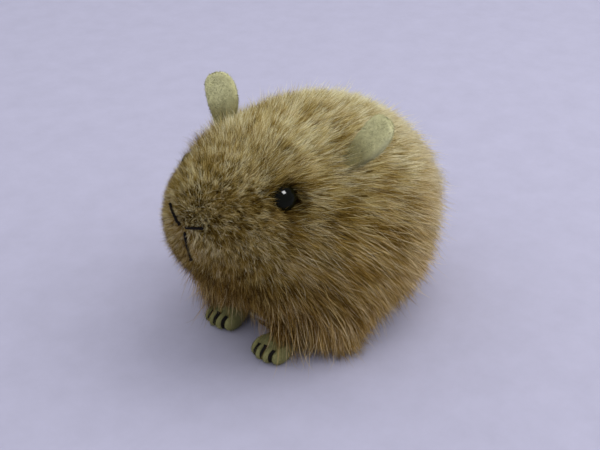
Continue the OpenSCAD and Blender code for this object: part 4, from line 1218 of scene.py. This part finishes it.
def felt_fuzz(felt, name, density, tone, finish):
    """Loose fibres standing on a felt piece."""
    mesh = felt.data
    points = mesh_points(mesh)
    normals = np.array([vertex.normal for vertex in mesh.vertices])
    comb = unit(np.cross(normals, np.sin(points * 2.3 + np.array([0.0, 1.7, 3.1]))))
    even = {
        "fur_length": bpy.context.scene.mouse_face.fuzz_length, "fur_lift": 0.3, "fur_curl": 0.8,
        "fur_tone": tone, "fur_density": density / MM ** 2}
    fields = {"fur_comb": comb, **{key: np.full(len(points), value) for key, value in even.items()}}
    faces = []
    for polygon in mesh.polygons:
        corners = list(polygon.vertices)
        faces.extend((corners[0], corners[k], corners[k + 1]) for k in range(1, len(corners) - 1))
    seat(grow(name, points, faces, fields, finish_of(finish), FUZZ_HAIR), "felt")


def ear_sheets(face, axes, sign):
    """Points of an ear's two sheets of felt, which meet along the edge, cupped, bowed and bent outward."""
    root, long_way, wide_way, front, length, width = axes
    droop = np.array([0.0, sign * face.ear_droop / MM, 0.0])
    cup = face.ear_cup / MM
    points = []
    for cheek in (1, -1):
        for share in np.linspace(0, 1, EAR_ROWS):
            waist = mixed(*EAR_WAIST, rise(0.0, EAR_WIDEST, share))
            past_widest = max(0.0, (share - EAR_WIDEST) / (1 - EAR_WIDEST))
            rounding = max(math.sqrt(max(0.0, 1 - past_widest ** TIP_POWER)), EAR_LEAST)
            bow = EAR_BOW * math.sin(math.pi * share) - EAR_LEAN * share * share
            half = width / 2 * waist * rounding
            middle = root + long_way * length * share + droop * share ** DROOP_POWER
            for across in np.linspace(-1, 1, EAR_COLUMNS):
                edge = max(0.0, 1 - abs(across) ** EDGE_POWER) ** 0.5 * rounding ** 0.4
                curl = cup * (across * across) * (1.25 - 0.55 * share) - cup * CUP_RISE
                thick = cheek * face.ear_thickness / MM / 2 * edge
                points.append(middle + wide_way * half * across + front * (curl - bow + thick))
    return points


class MOUSE_OT_ears(bpy.types.Operator):
    """Cuts and cups the two felt ears"""

    bl_idname = "mouse.ears"
    bl_label = "Shape the ears"

    def execute(self, context):
        face = context.scene.mouse_face
        for side, sign in SIDES:
            root, long_way, wide_way, front, length, width = ear_axes(side)
            length *= face.ear_length
            if side == "left":
                cosine, sine = math.cos(face.ear_turn), math.sin(face.ear_turn)
                wide_way, front = wide_way * cosine - front * sine, wide_way * sine + front * cosine
            sheets = ear_sheets(face, (root, long_way, wide_way, front, length, width), sign)
            faces = []
            for square in net_faces(EAR_ROWS, EAR_COLUMNS, closed=False):
                faces.append(square)
                faces.append(tuple(index + EAR_ROWS * EAR_COLUMNS for index in reversed(square)))
            ear = new_object(f"ear_felt_{side}", sheets, faces)
            working = bmesh.new()
            working.from_mesh(ear.data)
            bmesh.ops.remove_doubles(working, verts=working.verts, dist=0.01 * MM)
            bmesh.ops.holes_fill(working, edges=[edge for edge in working.edges if edge.is_boundary])
            bmesh.ops.recalc_face_normals(working, faces=working.faces)
            working.to_mesh(ear.data)
            working.free()
            ear.data.shade_smooth()
            # Painted shade at the root of the ear, where it sits in the fur; its fuzz is darkened by the
            # same share.
            root_shading = rise(*EAR_ROOT_SHADING, (mesh_points(ear.data) - root) @ long_way / length)
            set_fields(ear.data, {"ear_root": root_shading})
            set_material(ear, finish_of("felt"))
            seat(ear, "felt", f"ear_{side}")
            felt_fuzz(ear, f"ear_fuzz_{side}", face.fuzz_density, 0.5 - 0.5 * root_shading, "fuzz")
        return {"FINISHED"}


def paw_lumps(low, high, toes):
    """Centres and radii of a paw's heel and toes."""
    size = high - low
    middle_y = (low[1] + high[1]) / 2
    pitch = size[1] / toes
    lumps = [(np.array([low[0] + size[0] * 0.44, middle_y, low[2] + size[2] * 0.44]),
              np.array([size[0] * 0.43, size[1] * 0.46, size[2] * 0.55]))]
    for toe in range(toes):
        off = toe - (toes - 1) / 2
        radii = np.array([TOE_LENGTH, pitch * 0.56, size[2] * 0.43])
        front = high[0] - TOE_BACK * off * off
        place = [front - radii[0], middle_y + off * pitch * TOE_SPREAD, low[2] + radii[2] * 0.95]
        lumps.append((np.array(place), radii))
    return lumps


def toe_lines(paw, low, high, toes):
    """Lines over the front of a paw, one in each groove between its toes."""
    surface = ray_tree(paw.data)
    lines = []
    for groove in range(toes - 1):
        off = (groove - (toes - 2) / 2) * (high[1] - low[1]) / toes * TOE_SPREAD
        heart = Vector((high[0] - TOE_HEART[0], (low[1] + high[1]) / 2 + off, low[2] + TOE_HEART[1]))
        line = []
        for angle in np.linspace(*TOE_ARC, TOE_STITCHES):
            outward = Vector((math.cos(angle), 0.0, math.sin(angle)))
            place = surface.ray_cast(heart + outward * TOE_RAY, -outward)[0]
            if place is not None:
                line.append(np.array(place - outward * TOE_SINK))
        lines.append(line)
    return lines


class MOUSE_OT_paws(bpy.types.Operator):
    """Stuffs the two felt paws and sews their toe lines"""

    bl_idname = "mouse.paws"
    bl_label = "Shape the paws"

    toes: IntProperty(name="Toes", description="Toes on each paw", default=4)

    def execute(self, context):
        face = context.scene.mouse_face
        for side, _ in SIDES:
            low, high = node_box(f"paw_{side}")
            working = bmesh.new()
            for centre, radii in paw_lumps(low, high, self.toes):
                place = Matrix.Translation(Vector(centre * MM)) @ Matrix.Diagonal((*(radii * MM), 1.0))
                bmesh.ops.create_uvsphere(working, u_segments=32, v_segments=20, radius=1.0, matrix=place)
            mesh = bpy.data.meshes.new("lumps")
            working.to_mesh(mesh)
            working.free()
            lumped = placed("lumps", mesh)
            skin = lumped.modifiers.new("skin", "REMESH")
            skin.mode = "VOXEL"
            skin.voxel_size = PAW_VOXEL * MM
            even = lumped.modifiers.new("even", "SMOOTH")
            even.iterations = 5
            paw = as_plain_mesh(lumped, f"paw_felt_{side}")
            for vertex in paw.data.vertices:
                vertex.co.z = max(vertex.co.z, low[2] * MM)
            paw.data.shade_smooth()
            set_material(paw, finish_of("paw_felt"))
            seat(paw, "felt", f"paw_{side}")
            felt_fuzz(paw, f"paw_fuzz_{side}", face.fuzz_density * 0.7, 0.5, "paw_fuzz")
            lines = toe_lines(paw, low, high, self.toes)
            seat(sew(f"toe_thread_{side}", lines, face.toe_ply_radius, face.toe_twist), "thread")
        return {"FINISHED"}


class MOUSE_OT_works(bpy.types.Operator):
    """Gives the clockwork, shell, wheels and key their finishes"""

    bl_idname = "mouse.works"
    bl_label = "Finish the works"

    def execute(self, context):
        replaced = {"fur", "eye_bead", "felt", "thread"}
        for row in frame["record"]["subparts"]:
            if row["material_slot"] not in replaced:
                set_material(frame["nodes"][row["node"]], finish_of(row["material_slot"]))
        return {"FINISHED"}


def make_floor(colour):
    """A wide, faintly mottled floor."""
    material, bench = new_material("floor_cloth")
    mottle = bench.noise(bench.place(), 90.0, 5.0, Roughness=0.7)[0]
    tint = bench.mix(mottle, shaded(colour, 0.88), shaded(colour, 1.08))
    bench.surface(Base_Color=tint, Roughness=0.95, Specular_IOR_Level=0.1)
    corners = [(x * FLOOR_REACH, y * FLOOR_REACH, 0) for x, y in ((-1, -1), (1, -1), (1, 1), (-1, 1))]
    floor = new_object("floor", corners, [(0, 1, 2, 3)])
    set_material(floor, material)


def make_sky(scene, backdrop):
    """An even sky that lights the mouse, seen and mirrored as the backdrop's colour."""
    scene.world = bpy.data.worlds.new("studio")
    scene.world.use_nodes = True
    bench = NodeBench(scene.world.node_tree)
    rays = bench.node("ShaderNodeLightPath").outputs
    seen = bench.math("ADD", rays["Is Camera Ray"], rays["Is Glossy Ray"])
    seen = bench.math("ADD", seen, rays["Is Transmission Ray"], clamp=True)
    background = bench.tree.nodes["Background"]
    bench.put(background.inputs["Color"], bench.mix(seen, SKY_LIGHT, shaded(backdrop)))


def make_lamp(aim, name, place, size, power, colour, shown_in):
    """A square soft lamp that lights the scene, or that only shows in the polish of a collection."""
    data = bpy.data.lights.new(name, "AREA")
    data.size = size
    data.energy = power
    data.color = colour
    made = placed(name, data)
    made.location = place
    made.rotation_euler = (aim - Vector(place)).to_track_quat("-Z", "Y").to_euler()
    made.visible_glossy = shown_in is not None
    made.visible_diffuse = shown_in is None
    if shown_in:
        made.light_linking.receiver_collection = shared_group(shown_in)


class MOUSE_OT_stage(bpy.types.Operator):
    """Sets the floor, the lamps, the background and the camera"""

    bl_idname = "mouse.stage"
    bl_label = "Set the stage"

    def execute(self, context):
        scene = context.scene
        stage = scene.mouse_stage
        scene.view_settings.view_transform = "Standard"
        make_floor(stage.floor)
        make_sky(scene, stage.backdrop)
        target = Vector(stage.target)
        for row in LAMPS:
            make_lamp(target, *row)
        data = bpy.data.cameras.new("camera")
        data.angle = stage.view_angle
        camera = placed("camera", data)
        back = Vector((math.cos(stage.turn) * math.cos(stage.rise),
                       math.sin(stage.turn) * math.cos(stage.rise), math.sin(stage.rise)))
        camera.location = target + back * stage.distance
        camera.rotation_euler = back.to_track_quat("Z", "Y").to_euler()
        scene.camera = camera
        return {"FINISHED"}


STEPS = (
    MOUSE_OT_stage, MOUSE_OT_coat, MOUSE_OT_eyes, MOUSE_OT_nose, MOUSE_OT_ears, MOUSE_OT_paws,
    MOUSE_OT_works)
GROUPS = (
    ("mouse_coat", CoatSettings), ("mouse_face", FaceSettings),
    ("mouse_finish", FinishSettings), ("mouse_stage", StageSettings))


class MOUSE_PT_workshop(bpy.types.Panel):
    """Sidebar list of the mouse's making"""

    bl_label = "Clockwork mouse"
    bl_idname = "MOUSE_PT_workshop"
    bl_space_type = "VIEW_3D"
    bl_region_type = "UI"
    bl_category = "Mouse"

    def draw(self, context):
        column = self.layout.column(align=True)
        for step in STEPS:
            column.operator(step.bl_idname)
        for group, _ in GROUPS:
            box = self.layout.box()
            settings = getattr(context.scene, group)
            for name in settings.bl_rna.properties.keys():
                if name not in ("rna_type", "name"):
                    box.prop(settings, name)


def register():
    """Adds the settings, operators and panel."""
    for name, group in GROUPS:
        bpy.utils.register_class(group)
        setattr(bpy.types.Scene, name, PointerProperty(type=group))
    for step in STEPS + (MOUSE_PT_workshop,):
        bpy.utils.register_class(step)


def unregister():
    """Takes the settings, operators and panel away again."""
    for step in reversed(STEPS + (MOUSE_PT_workshop,)):
        bpy.utils.unregister_class(step)
    for name, group in reversed(GROUPS):
        delattr(bpy.types.Scene, name)
        bpy.utils.unregister_class(group)


def main():
    """Makes every piece in order."""
    register()
    for step in STEPS:
        family, name = step.bl_idname.split(".")
        getattr(getattr(bpy.ops, family), name)()


if __name__ == "__main__":
    main()
